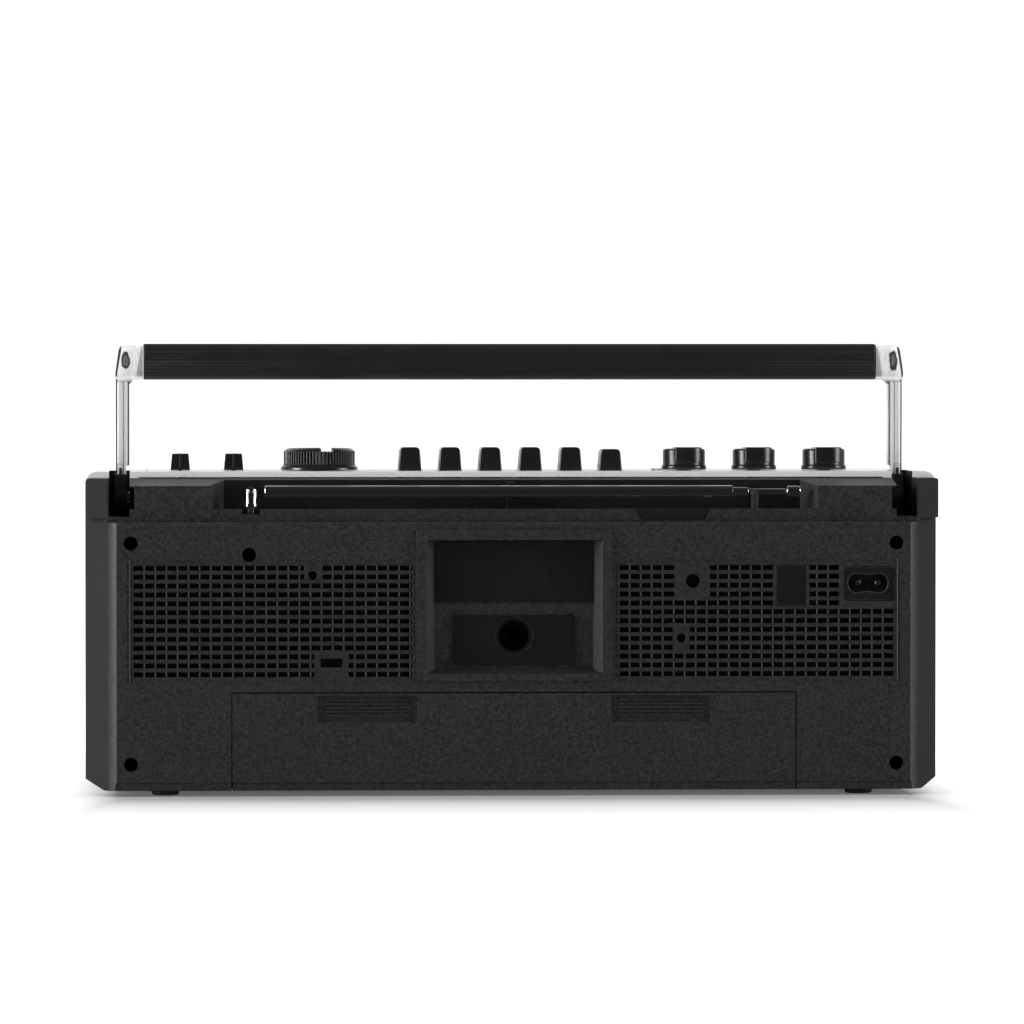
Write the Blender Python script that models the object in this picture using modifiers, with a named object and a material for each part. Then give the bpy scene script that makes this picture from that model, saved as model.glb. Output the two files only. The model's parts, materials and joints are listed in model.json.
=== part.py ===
"""A portable radio cassette recorder with a folding handle and a telescopic antenna.

The frame is +Z up, the back of the recorder towards +Y and its front towards -Y. The origin is on the
surface that the feet stand on, under the middle of the recorder. Sizes in this file are millimetres, and
the helpers below turn them into Blender's metres.
"""

from math import atan2, cos, pi, radians, sin, sqrt

import bmesh
import bpy
from mathutils import Matrix, Vector

MM = 0.001

# Driving dimensions
HALF_WIDTH = 187.0
FOOT_HEIGHT = 2.6
CABINET_TOP = 141.2
COVER_TOP = 138.4
CABINET_FRONT = -54.0
PARTING = 30.0
REAR = 55.0
OUTMOST = 56.0
WALL = 2.5
GAP = 0.3

# Rear cover
STEP_HEIGHT = 119.3
UPPER_REAR = 51.0
SLOPE_FOOT = 135.2
SIDE_EDGE = (177.0, 51.8)
FACE_EDGE = 173.2
TROUGH_FLOOR = 125.0
TROUGH_BACK = 35.0
VENT_TOP = 99.5
VENT_PITCH = 3.86
VENT_ROWS = 13
VENT_SLOT = 2.2
VENT_INNER = 44.6
VENT_OUTER = 165.8
FIELD_OUTER = 168.5
FIELD_LOW = 49.7
FIELD_HIGH = 103.0
FRAME_HALF = 42.8
FRAME_LOW = 50.2
FRAME_HIGH = 116.1
RECESS_FLOOR = 49.0
WELL_HEIGHT = 69.5
WELL_RADIUS = 6.6
SCREW_RADIUS = 3.1
SCREW_PLACES = [(167, 110.3), (-167, 110.3), (167, 14.1), (-167, 14.1), (115.6, 105.2), (-77.9, 93.7)]
PEG_PLACES = [(87.9, 96.3), (-72.8, 68.8)]
BLANK_PLACE = (-120.95, 91.5)
BLANK_SIZE = (12.3, 17.4)
INLET_PLACE = (-155.3, 92.4)
INLET_SIZE = (22.7, 15.2)
PIN_MIDDLE = -154.6
PIN_SPACING = 8.6

# Battery bay
DOOR_HALF = 122.8
DOOR_TOP = 44.9
DOOR_GAP = 0.55
LIP_FACE = 54.4
DOOR_PIVOT = (49.5, 6.2)
LATCH_MIDDLE = 64.05
LATCH_SIZE = (43.3, 11.5)

# Handle
HANDLE_PIVOT = (8.0, 129.5)
ARM_INNER = 167.8
ARM_OUTER = 173.7
LEG_INNER = 169.2
LEG_TOP = 143.0
ARM_HALF_DEPTH = 4.4
ELBOW_OUTER = 174.0
GRIP_HALF = 161.6
GRIP_LOW = 181.4
GRIP_HIGH = 197.2
GRIP_DEPTH = 18.0
SLOT_INNER = 167.5
SLOT_OUTER = 176.6
SLOT_FLOOR = 121.6
RELIEF_INNER = 165.5
RELIEF_HEIGHTS = (124.9, 134.6)

# Antenna
ANTENNA_X = 114.7
ANTENNA_Y = 46.5
ANTENNA_Z = 132.5
TUBE_RADIUS = 2.75
TUBE_END = -95.8
MIDDLE_END = -102.8
INNER_END = -119.5

# Top controls
KEY_NAMES = ["record", "play", "rewind", "fast_forward", "stop_eject", "pause"]
KEY_PITCH = 17.7
KEY_HALF = 5.0
KEY_DEPTH = (0.0, 18.0)
KEY_TOP = 151.6
CONTROL_Y = 9.0
TUNING_X = 84.1
KNOB_X = {"volume_knob": -77.3, "bass_knob": -108.3, "treble_knob": -139.3}
SWITCH_X = {"function_switch": 145.4, "band_switch": 121.9}
SHAFT_RADIUS = 3.0
KNOB_RADIUS = 9.4
KNOB_BASE = 9.95
KNOB_TOP = 151.0
TUNING_RADIUS = 15.7
TUNING_BASE = 17.0
CONTROL_LOW = 141.6

# Front
SPEAKER_X = 122.0
SPEAKER_Z = 68.0
CASSETTE_HALF = 57.0
CASSETTE_LOW = 22.0
CASSETTE_HIGH = 100.0
WINDOW_HALF = 38.0
WINDOW_LOW = 44.0
WINDOW_HIGH = 82.0
DIAL_LOW = 106.4
DIAL_HIGH = 127.6
DIAL_HALF = 56.6

# Tape deck
DECK_FACE = -37.0
CAPSTAN = (-25.0, 84.0)
MOTOR = (30.0, 84.0)
REEL_X = 21.25
REEL_Z = 57.0
FLYWHEEL_RADIUS = 23.0
PULLEY_RADIUS = 4.0
CAPSTAN_RADIUS = 1.25
ROLLER_RADIUS = 5.0
ROLLER_LIFT = 3.2


def clear_scene():
    for obj in list(bpy.data.objects):
        bpy.data.objects.remove(obj, do_unlink=True)


def collection(name):
    made = bpy.data.collections.new(name)
    bpy.context.scene.collection.children.link(made)
    return made


def material(name, colour, roughness, metallic=0.0):
    made = bpy.data.materials.new(name)
    made.use_nodes = True
    shader = made.node_tree.nodes["Principled BSDF"]
    shader.inputs["Base Color"].default_value = (*colour, 1.0)
    shader.inputs["Roughness"].default_value = roughness
    shader.inputs["Metallic"].default_value = metallic
    return made


clear_scene()
PARTS = collection("radio_cassette_recorder")
TOOLS = collection("cutters")

BLACK_PLASTIC = material("black_plastic", (0.030, 0.030, 0.031), 0.55)
SILVER_PLASTIC = material("silver_plastic", (0.72, 0.73, 0.74), 0.38, 0.3)
GLOSS_BLACK = material("gloss_black", (0.020, 0.020, 0.021), 0.25)
LABEL_BLACK = material("label_black", (0.008, 0.008, 0.008), 0.45)
CHROME = material("chrome", (0.80, 0.80, 0.81), 0.10, 1.0)
STEEL = material("steel", (0.55, 0.55, 0.56), 0.35, 1.0)
BRASS = material("brass", (0.75, 0.55, 0.25), 0.35, 1.0)
RUBBER = material("rubber", (0.020, 0.020, 0.020), 0.85)
GRILLE_METAL = material("grille_metal", (0.050, 0.050, 0.052), 0.45, 0.6)
CLEAR_PLASTIC = material("clear_plastic", (0.30, 0.32, 0.33), 0.10)
BOARD_GREEN = material("board_green", (0.04, 0.16, 0.07), 0.55)
CONE_PAPER = material("cone_paper", (0.035, 0.035, 0.036), 0.90)
DIAL_CREAM = material("dial_cream", (0.78, 0.76, 0.68), 0.60)
FERRITE = material("ferrite", (0.060, 0.055, 0.050), 0.70)


def add(name, mesh, finish):
    """An object of this mesh: a part if it has a finish, or else a hidden tool."""
    obj = bpy.data.objects.new(name, mesh)
    (PARTS if finish else TOOLS).objects.link(obj)
    if finish:
        mesh.materials.append(finish)
    else:
        obj.hide_render = True
        obj.display_type = "WIRE"
    return obj


def boxes(name, corners, finish=None):
    """One mesh of a box for each pair of opposite corners."""
    shape = bmesh.new()
    for low, high in corners:
        low, high = Vector(low), Vector(high)
        place = Matrix.Translation((low + high) / 2 * MM) @ Matrix.Diagonal((*(high - low) * MM, 1))
        bmesh.ops.create_cube(shape, size=1, matrix=place)
    mesh = bpy.data.meshes.new(name)
    shape.to_mesh(mesh)
    shape.free()
    return add(name, mesh, finish)


def box(name, low, high, finish=None):
    return boxes(name, [(low, high)], finish)


def rod(name, radius, start, end, sides=24, finish=None):
    """A round bar from start to end."""
    start, end = Vector(start) * MM, Vector(end) * MM
    turn = (end - start).to_track_quat("Z", "Y").to_matrix().to_4x4()
    shape = bmesh.new()
    bmesh.ops.create_cone(
        shape,
        cap_ends=True,
        segments=sides,
        radius1=radius * MM,
        radius2=radius * MM,
        depth=(end - start).length,
        matrix=Matrix.Translation((start + end) / 2) @ turn,
    )
    mesh = bpy.data.meshes.new(name)
    shape.to_mesh(mesh)
    shape.free()
    obj = add(name, mesh, finish)
    smooth(obj)
    return obj


PLANES = {
    # the outline's first axis, its second axis and the direction of its thickness, as columns
    "XY": Matrix(((1, 0, 0), (0, 1, 0), (0, 0, 1))),
    "XZ": Matrix(((1, 0, 0), (0, 0, -1), (0, 1, 0))),
    "YZ": Matrix(((0, 0, 1), (1, 0, 0), (0, 1, 0))),
}


def plate(name, outlines, plane, start, end, finish=None):
    """A flat outline, with any holes inside it, given thickness between two places across its plane."""
    curve = bpy.data.curves.new(name, "CURVE")
    curve.dimensions = "2D"
    curve.fill_mode = "BOTH"
    curve.extrude = abs(end - start) / 2 * MM
    for outline in outlines:
        spline = curve.splines.new("POLY")
        spline.points.add(len(outline) - 1)
        for point, (across, up) in zip(spline.points, outline):
            point.co = (across * MM, up * MM, 0, 1)
        spline.use_cyclic_u = True
    drawn = bpy.data.objects.new(name + "_outline", curve)
    TOOLS.objects.link(drawn)
    turn = PLANES[plane]
    middle = plane_sign(plane) * (start + end) / 2
    drawn.matrix_world = Matrix.Translation(turn.col[2] * middle * MM) @ turn.to_4x4()
    bpy.context.view_layer.update()
    graph = bpy.context.evaluated_depsgraph_get()
    mesh = bpy.data.meshes.new_from_object(drawn.evaluated_get(graph))
    shape = bmesh.new()
    shape.from_mesh(mesh)
    bmesh.ops.remove_doubles(shape, verts=shape.verts, dist=1e-6)
    shape.to_mesh(mesh)
    shape.free()
    mesh.name = name
    obj = add(name, mesh, finish)
    obj.matrix_world = drawn.matrix_world.copy()
    bpy.data.objects.remove(drawn, do_unlink=True)
    return obj


def plane_sign(plane):
    """Thickness in the XZ plane runs along -Y, so its places change sign."""
    return -1 if plane == "XZ" else 1


AXIS_TURNS = {
    "+Z": Matrix.Identity(4),
    "-Y": Matrix.Rotation(radians(90), 4, "X"),
    "-X": Matrix.Rotation(radians(-90), 4, "Y"),
}


def turned(name, profile, place, axis="+Z", sides=32, finish=None):
    """A turned shape: its profile, as (radius, height) from top to bottom, swept round the axis at place."""
    mesh = bpy.data.meshes.new(name)
    points = [(radius * MM, 0, height * MM) for radius, height in profile]
    mesh.from_pydata(points, [(i, i + 1) for i in range(len(points) - 1)], [])
    obj = add(name, mesh, finish)
    obj.matrix_world = Matrix.Translation(Vector(place) * MM) @ AXIS_TURNS[axis]
    sweep = obj.modifiers.new("Sweep", "SCREW")
    sweep.axis = "Z"
    sweep.angle = 2 * pi
    sweep.steps = sweep.render_steps = sides
    sweep.use_merge_vertices = True
    sweep.merge_threshold = 0.00001
    sweep.use_smooth_shade = True
    return obj


def combine(obj, other, operation, solver="EXACT"):
    step = obj.modifiers.new(other.name, "BOOLEAN")
    step.operation = operation
    step.object = other
    step.solver = solver
    return obj


def cut(obj, *others):
    for other in others:
        combine(obj, other, "DIFFERENCE")
    return obj


def join(obj, *others):
    for other in others:
        combine(obj, other, "UNION")
    return obj


def keep_common(obj, *others):
    for other in others:
        combine(obj, other, "INTERSECT")
    return obj


def smooth(obj, angle=35):
    obj.data.shade_smooth()
    obj.data.set_sharp_from_angle(angle=radians(angle))


def hang_on(name, place, *pieces):
    """An empty on a joint's axis, which carries the pieces that the joint moves."""
    pivot = bpy.data.objects.new(name, None)
    PARTS.objects.link(pivot)
    pivot.location = Vector(place) * MM
    pivot.empty_display_size = 0.01
    for piece in pieces:
        piece.parent = pivot
        piece.matrix_parent_inverse = Matrix.Translation(pivot.location).inverted()


def arc(centre, radius, start, end, count):
    """Points on an arc, with its ends, for angles in degrees."""
    steps = [radians(start + (end - start) * i / count) for i in range(count + 1)]
    return [(centre[0] + radius * cos(a), centre[1] + radius * sin(a)) for a in steps]


def circle(centre, radius, sides):
    return arc(centre, radius, 0, 360, sides)[:-1]


def rounded(low, high, radius, count=4):
    """A rectangle with round corners."""
    (x0, y0), (x1, y1) = low, high
    return (
        arc((x1 - radius, y1 - radius), radius, 0, 90, count)
        + arc((x0 + radius, y1 - radius), radius, 90, 180, count)
        + arc((x0 + radius, y0 + radius), radius, 180, 270, count)
        + arc((x1 - radius, y0 + radius), radius, 270, 360, count)
    )


def elevation(inset, top, radius):
    """The recorder's outline from behind: round upper corners and chamfered lower ones."""
    half, bottom = HALF_WIDTH - inset, FOOT_HEIGHT + inset
    right = [(half - 8, bottom), (half, bottom + 4)]
    left = [(-x, z) for x, z in reversed(right)]
    return (
        right
        + arc((half - radius, top - inset - radius), radius, 0, 90, 4)
        + arc((radius - half, top - inset - radius), radius, 90, 180, 4)
        + left
    )


def both_sides(half):
    """An outline from its right half, the left half being its mirror image."""
    return half + [(-x, y) for x, y in reversed(half)]


def rear_cover():
    """The black rear shell, with its vents, label frame, antenna trough and handle slots."""
    cover = plate("rear_cover", [elevation(0, COVER_TOP, 2.0)], "XZ", PARTING, 60, BLACK_PLASTIC)
    plan = both_sides(
        [(HALF_WIDTH + 1, PARTING - 1), (HALF_WIDTH, PARTING), SIDE_EDGE, (FACE_EDGE, REAR)]
    )
    upper_plan = both_sides(
        [
            (HALF_WIDTH + 1, PARTING - 1),
            (HALF_WIDTH, PARTING),
            (HALF_WIDTH - 0.5, 44.5),
            (SIDE_EDGE[0], UPPER_REAR + 0.3),
            (FACE_EDGE, 60),
        ]
    )
    side = [
        (20, FOOT_HEIGHT - 0.5),
        (46.5, FOOT_HEIGHT - 0.5),
        (46.5, FOOT_HEIGHT),
        (LIP_FACE - 0.2, FOOT_HEIGHT),
        (LIP_FACE, FOOT_HEIGHT + 0.2),
        (LIP_FACE, 5.5),
        (REAR, 6.2),
        (REAR, STEP_HEIGHT - 0.5),
        (REAR - 0.5, STEP_HEIGHT),
        (UPPER_REAR, STEP_HEIGHT),
        (UPPER_REAR, COVER_TOP + 1),
        (20, COVER_TOP + 1),
    ]
    corner_low = SLOT_FLOOR - 0.3
    keep_common(
        cover,
        join(
            plate("cover_plan", [plan], "XY", -5, corner_low),
            plate("corner_plan", [upper_plan], "XY", corner_low - 0.2, 150),
        ),
        plate("cover_side", [side], "YZ", -200, 200),
    )
    slope = [(PARTING - 1, COVER_TOP + 0.05), (UPPER_REAR + 2, SLOPE_FOOT - 0.3), (60, 160), (20, 160)]
    cut(cover, plate("cover_slope", [slope], "YZ", -176, 176))
    cut(cover, cover_hollow(), cover_upper_hollows())
    join(cover, *cover_additions())
    cut(cover, *cover_openings())
    return cover


def cover_hollow():
    inner = PARTING - 5
    hollow = plate("cover_hollow", [elevation(WALL, COVER_TOP, 1.0)], "XZ", inner, 60)
    inside = HALF_WIDTH - WALL
    plan = both_sides([(inside, inner), (inside, PARTING), (174.4, 50.6), (171.9, REAR - WALL)])
    side = [
        (inner - 1, FOOT_HEIGHT + WALL),
        (46.2, FOOT_HEIGHT + WALL),
        (REAR - WALL, 9.2),
        (REAR - WALL, STEP_HEIGHT - WALL),
        (40, STEP_HEIGHT - WALL),
        (40, TROUGH_FLOOR - WALL),
        (inner - 1, TROUGH_FLOOR - WALL),
    ]
    keep_common(
        hollow,
        plate("hollow_plan", [plan], "XY", -5, 150),
        plate("hollow_side", [side], "YZ", -200, 200),
    )
    corners = [((side * 163, 20, STEP_HEIGHT - WALL - 0.1), (side * 195, 60, 150)) for side in (-1, 1)]
    return cut(hollow, boxes("hollow_corners", [ordered(*c) for c in corners]))


def ordered(low, high):
    """The lowest and the highest corner of the box between two opposite corners."""
    pairs = list(zip(low, high))
    return tuple(map(min, pairs)), tuple(map(max, pairs))


def cover_upper_hollows():
    """Room behind the trough's back wall, and inside the blocks beside the trough."""
    behind = ((-162, PARTING - 5, 120), (162, TROUGH_BACK - WALL, 135.4))
    beside = [ordered((side * 136, PARTING - 4, 120.5), (side * 161.5, 48.5, 131.8)) for side in (-1, 1)]
    hollow = box("upper_hollow", *behind)
    return join(hollow, boxes("upper_side_hollows", beside))


def cover_additions():
    """What stands on the shell: the label frame, the screw posts and the tube of the round well."""
    inside = REAR - WALL
    low, high = (-FRAME_HALF, RECESS_FLOOR - WALL, FRAME_LOW), (FRAME_HALF, OUTMOST, FRAME_HIGH)
    frame = box("label_frame", low, high)
    well = rod("well_tube", WELL_RADIUS + 2, (0, 33.5, WELL_HEIGHT), (0, RECESS_FLOOR - 0.5, WELL_HEIGHT), 24)
    posts = [
        rod(f"screw_post_{i}", 4.8, (x, PARTING + 2, z), (x, inside + 0.5, z), 16)
        for i, (x, z) in enumerate(SCREW_PLACES)
    ]
    return [frame, well, *posts]


def vent_slots():
    """Rows of slots left and right of the frame, each row broken where something stands in the vents."""
    rows = []
    for row in range(VENT_ROWS):
        z = VENT_TOP - row * VENT_PITCH
        spans = [(-VENT_OUTER, -VENT_INNER), (VENT_INNER, VENT_OUTER)]
        if row < 5:
            spans = without(spans, -FIELD_OUTER, -141.9)
            spans = without(spans, -128.9, -113.0)
        if row < 4:
            spans = without(spans, -85.4, -69.8)
        if row >= VENT_ROWS - 3:
            spans = without(spans, 72.3, 87.2)
        for x, peg_z in PEG_PLACES:
            if abs(z - peg_z) < 4.5:
                spans = without(spans, x - 3.6, x + 3.6)
        rows += [((a, 50, z - VENT_SLOT / 2), (b, 60, z + VENT_SLOT / 2)) for a, b in spans]
    return boxes("vent_slots", rows)


def without(spans, low, high):
    """The stretches that are left of the spans once low to high is taken out."""
    left = []
    for a, b in spans:
        if high <= a or low >= b:
            left.append((a, b))
            continue
        if low - a > 1:
            left.append((a, low))
        if b - high > 1:
            left.append((high, b))
    return left


def cover_openings():
    frustum = box("label_recess", (-39, RECESS_FLOOR, 53), (39, OUTMOST + 1, 111.7))
    for corner in frustum.data.vertices:
        if corner.co.y < (RECESS_FLOOR + 1) * MM:
            corner.co.x *= 34.7 / 39
            corner.co.z = 55.3 * MM if corner.co.z < 0.08 else 111.2 * MM
    fields = [
        ordered((side * VENT_INNER, REAR - 0.4, FIELD_LOW), (side * FIELD_OUTER, 60, FIELD_HIGH))
        for side in (-1, 1)
    ]
    trough = both_sides([(126.5, TROUGH_BACK), (133, UPPER_REAR), (133, 60)])
    notch = [
        (-52.6, TROUGH_FLOOR + 1),
        (-86.7, TROUGH_FLOOR + 1),
        (-86.7, TROUGH_FLOOR),
        (-84, 119.9),
        (-55.7, 119.9),
        (-52.6, TROUGH_FLOOR),
    ]
    slots = [ordered((side * SLOT_INNER, 20, SLOT_FLOOR), (side * SLOT_OUTER, 60, 150)) for side in (-1, 1)]
    door_half = DOOR_HALF + DOOR_GAP
    x, z = BLANK_PLACE
    blank_x, blank_z = (side / 2 + GAP for side in BLANK_SIZE)
    inlet_low = [INLET_PLACE[i] - INLET_SIZE[i] / 2 for i in (0, 1)]
    inlet_high = [INLET_PLACE[i] + INLET_SIZE[i] / 2 for i in (0, 1)]
    tools = [
        frustum,
        boxes("vent_fields", fields),
        vent_slots(),
        plate("trough", [trough], "XY", TROUGH_FLOOR, 150),
        plate("finger_notch", [notch], "XZ", 43, 60),
        box("swivel_seat", (110.8, 41.5, 122.8), (118.7, 60, 127)),
        boxes("handle_slots", slots),
        handle_reliefs(),
        box("door_opening", (-door_half, 44.6, -1), (door_half, 60, DOOR_TOP + DOOR_GAP)),
        box("blank_opening", (x - blank_x, 50, z - blank_z), (x + blank_x, 60, z + blank_z)),
        box("small_opening", (75, 50, 56.2), (84.5, 60, 60.1)),
        plate("inlet_opening", [rounded(inlet_low, inlet_high, 2.4)], "XZ", 50, 60),
        rod("well_bore", WELL_RADIUS, (0, 36, WELL_HEIGHT), (0, 60, WELL_HEIGHT), 24),
        rod("well_ring", 7.85, (0, RECESS_FLOOR - 0.6, WELL_HEIGHT), (0, 60, WELL_HEIGHT), 24),
    ]
    for i, (x, z) in enumerate(SCREW_PLACES):
        tools.append(rod(f"screw_well_{i}", SCREW_RADIUS, (x, PARTING + 6, z), (x, 60, z), 16))
        tools.append(rod(f"screw_hole_{i}", 1.5, (x, PARTING, z), (x, 60, z), 8))
    for i, (x, z) in enumerate(PEG_PLACES):
        tools.append(rod(f"peg_hole_{i}", 2.0, (x, 50, z), (x, 60, z), 12))
    return tools


def handle_reliefs():
    """Room beside the slots for the wide part of the arms when the handle lies back."""
    low, high = RELIEF_HEIGHTS
    inner, outer = RELIEF_INNER, SLOT_INNER + 1
    sides = [ordered((side * inner, 18.5, low), (side * outer, 60, high)) for side in (-1, 1)]
    return boxes("handle_reliefs", sides)


def trough_supports(cover):
    """The rib and the saddle that the folded antenna rests beside, moulded with the cover."""
    rib = box("trough_rib", (-0.5, TROUGH_BACK - 1, TROUGH_FLOOR - 1), (2.5, 43, 136.6))
    saddle = box("trough_saddle", (-106.8, 44, TROUGH_FLOOR - 1), (-104.0, 49, 130.6))
    join(cover, rib, saddle)


def front_cabinet():
    """The silver front shell, open at the back, with openings for what stands in its front and its top."""
    cabinet = plate(
        "front_cabinet",
        [elevation(0, CABINET_TOP, 5.0)],
        "XZ",
        CABINET_FRONT,
        PARTING - GAP,
        SILVER_PLASTIC,
    )
    radius = 4
    front_corner = arc((HALF_WIDTH - radius, CABINET_FRONT + radius), radius, 0, -90, 4)
    plan = both_sides([(HALF_WIDTH, PARTING + 5), *front_corner])
    keep_common(cabinet, plate("cabinet_plan", [plan], "XY", -5, 150))
    cut(
        cabinet,
        plate("cabinet_hollow", [elevation(WALL, CABINET_TOP, 2.5)], "XZ", CABINET_FRONT + WALL, PARTING + 5),
    )
    pivot_y, pivot_z = HANDLE_PIVOT
    blocks, slots, pins = [], [], []
    for side in (-1, 1):
        blocks.append(ordered((side * 163.5, -6, 117), (side * 185.5, PARTING - GAP, 140)))
        slots.append(ordered((side * SLOT_INNER, 0.5, SLOT_FLOOR), (side * SLOT_OUTER, 40, 150)))
        pins.append(
            rod(f"pin_bore_{side}", 2.8, (side * 162, pivot_y, pivot_z), (side * 169, pivot_y, pivot_z), 16)
        )
    join(cabinet, boxes("handle_blocks", blocks))
    bay, dial_gap = CASSETTE_HALF + GAP, DIAL_HALF + GAP
    cut(
        cabinet,
        boxes("cabinet_slots", slots),
        handle_reliefs(),
        *pins,
        box("panel_opening", (-160.3, -46.3, 130), (160.3, 27.3, 150)),
        box("cassette_opening", (-bay, -60, CASSETTE_LOW - 0.6), (bay, -45, CASSETTE_HIGH + GAP)),
        box("dial_opening", (-dial_gap, -60, DIAL_LOW - GAP), (dial_gap, -45, DIAL_HIGH + GAP)),
    )
    for side in (-1, 1):
        x = side * SPEAKER_X
        cut(cabinet, rod(f"speaker_hole_{side}", 46, (x, -60, SPEAKER_Z), (x, -45, SPEAKER_Z), 40))
    return cabinet


def top_panel():
    """The control panel that closes the cabinet's top, with a slot or a hole for each control."""
    panel = box("top_panel", (-160, -46, CABINET_TOP - WALL), (160, 27, CABINET_TOP), SILVER_PLASTIC)
    volume = (KNOB_X["volume_knob"], CONTROL_Y)
    sector = arc(volume, KNOB_BASE + 4.7, -24, 24, 8) + arc(volume, KNOB_BASE + 0.7, 24, -24, 8)
    join(panel, plate("volume_scale", [sector], "XY", CABINET_TOP - 0.5, CABINET_TOP + 0.9))
    slots = []
    for i in range(len(KEY_NAMES)):
        x = key_x(i)
        slots.append(((x - 5.35, KEY_DEPTH[0] - 0.35, 130), (x + 5.35, KEY_DEPTH[1] + 0.35, 150)))
    for x in SWITCH_X.values():
        slots.append(((x - 3.6, CONTROL_Y - 1.3, 130), (x + 3.6, CONTROL_Y + 1.3, 150)))
    cut(panel, boxes("control_slots", slots))
    for i, x in enumerate([TUNING_X, *KNOB_X.values()]):
        cut(panel, rod(f"shaft_hole_{i}", SHAFT_RADIUS + 0.5, (x, CONTROL_Y, 130), (x, CONTROL_Y, 150), 16))
    return panel


def key_x(index):
    return (index - (len(KEY_NAMES) - 1) / 2) * KEY_PITCH


def keys():
    """Six piano keys. Each one slides down on its own."""
    for i, name in enumerate(KEY_NAMES):
        x = key_x(i)
        top = KEY_TOP - (0.85 if name == "record" else 0)
        half = both_sides(
            [(KEY_HALF, 131), (KEY_HALF, 142), (KEY_HALF - 0.65, top - 1), (KEY_HALF - 1.6, top)]
        )
        key = plate(f"{name}_key", [half], "XZ", *KEY_DEPTH, GLOSS_BLACK)
        key.location.x = x * MM


def small_knobs():
    profile = [
        (0, KNOB_TOP),
        (KNOB_RADIUS - 1.2, KNOB_TOP),
        (KNOB_RADIUS - 0.2, KNOB_TOP - 1),
        (KNOB_RADIUS, 143.9),
        (KNOB_BASE, 143.6),
        (KNOB_BASE, CONTROL_LOW),
        (SHAFT_RADIUS, CONTROL_LOW),
        (SHAFT_RADIUS, 131),
        (0, 131),
    ]
    for name, x in KNOB_X.items():
        knob = turned(name, profile, (x, CONTROL_Y, 0), sides=32, finish=GLOSS_BLACK)
        low, high = (x - 7, CONTROL_Y - 4.5, KNOB_TOP - 0.5), (x + 4.6, CONTROL_Y + 4.5, KNOB_TOP + 0.6)
        join(knob, box(f"{name}_pointer", low, high))


def tuning_knob():
    profile = [
        (0, 151.2),
        (TUNING_RADIUS - 1.8, 151.2),
        (TUNING_RADIUS, 149.7),
        (TUNING_RADIUS, 143.9),
        (TUNING_BASE, 142.7),
        (TUNING_BASE, CONTROL_LOW),
        (SHAFT_RADIUS, CONTROL_LOW),
        (SHAFT_RADIUS, 136.2),
        (0, 136.2),
    ]
    turned("tuning_knob", profile, (TUNING_X, CONTROL_Y, 0), sides=48, finish=GLOSS_BLACK)


def switches():
    for name, x in SWITCH_X.items():
        outline = both_sides([(4.3, 141.5), (4.25, 142.2), (3.65, 148.8)])
        cap = plate(name, [outline], "XZ", CONTROL_Y - 4.5, CONTROL_Y + 4.5, GLOSS_BLACK)
        cap.location.x = x * MM
        join(cap, box(f"{name}_stem", (x - 0.8, CONTROL_Y - 1, 136), (x + 0.8, CONTROL_Y + 1, 142)))


def battery_door():
    profile = [
        (REAR, DOOR_TOP),
        (REAR, 6.2),
        (LIP_FACE, 5.5),
        (LIP_FACE, 2.8),
        (LIP_FACE - 0.2, 2.6),
        (46.8, 2.6),
        (46.8, 5.6),
        (REAR - WALL, 8.4),
        (REAR - WALL, DOOR_TOP),
    ]
    door = plate("battery_door", [profile[::-1]], "YZ", -DOOR_HALF, DOOR_HALF, BLACK_PLASTIC)
    width, height = LATCH_SIZE
    pockets, ribs = [], []
    for side in (-1, 1):
        x = side * LATCH_MIDDLE
        pockets.append(((x - width / 2, REAR - 1.4, 32.3), (x + width / 2, 60, 32.3 + height)))
        for row in range(5):
            z = 34.9 + 1.65 * row
            ribs.append(((x - 18.3, REAR - 1.6, z), (x + 18.3, REAR - 0.5, z + 0.8)))
    cut(door, boxes("latch_pockets", pockets))
    join(door, boxes("latch_ribs", ribs))
    hang_on("battery_door_pivot", (0, *DOOR_PIVOT), door)


def battery_bay():
    """A tray that takes four D cells in a row, with a coil contact at one end."""
    tray = box("battery_tray", (-129.4, 12, 5.4), (129.4, 44, 47), BLACK_PLASTIC)
    cut(tray, box("tray_hollow", (-127.6, 14, 7.2), (127.6, 60, 45.2)))
    turns, radius, length = 3, 7.0, 8.0
    points = [
        (-126.8 + length * i / (turns * 10), 29 + radius * cos(i * pi / 5), 26 + radius * sin(i * pi / 5))
        for i in range(turns * 10 + 1)
    ]
    curve = bpy.data.curves.new("battery_spring", "CURVE")
    curve.dimensions = "3D"
    curve.bevel_depth = 0.5 * MM
    curve.bevel_resolution = 1
    curve.use_fill_caps = True
    spline = curve.splines.new("POLY")
    spline.points.add(len(points) - 1)
    for point, place in zip(spline.points, points):
        point.co = (*(Vector(place) * MM), 1)
    coil = bpy.data.objects.new("battery_spring", curve)
    PARTS.objects.link(coil)
    curve.materials.append(STEEL)


def centre_labels():
    low, high = RECESS_FLOOR + GAP, RECESS_FLOOR + 0.9
    box("label_upper", (-34.3, low, 84.3), (34.3, high, 110.9), LABEL_BLACK)
    outline = [(-26.7, 56.9), (26.7, 56.9), (26.7, 78.3), (-26.7, 78.3)]
    plate("label_lower", [outline, circle((0, WELL_HEIGHT), 8.3, 24)], "XZ", low, high, LABEL_BLACK)


def blanking_plate():
    x, z = BLANK_PLACE
    width, height = BLANK_SIZE
    box(
        "blanking_plate",
        (x - width / 2, REAR - WALL, z - height / 2),
        (x + width / 2, REAR - 0.9, z + height / 2),
        LABEL_BLACK,
    )


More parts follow.
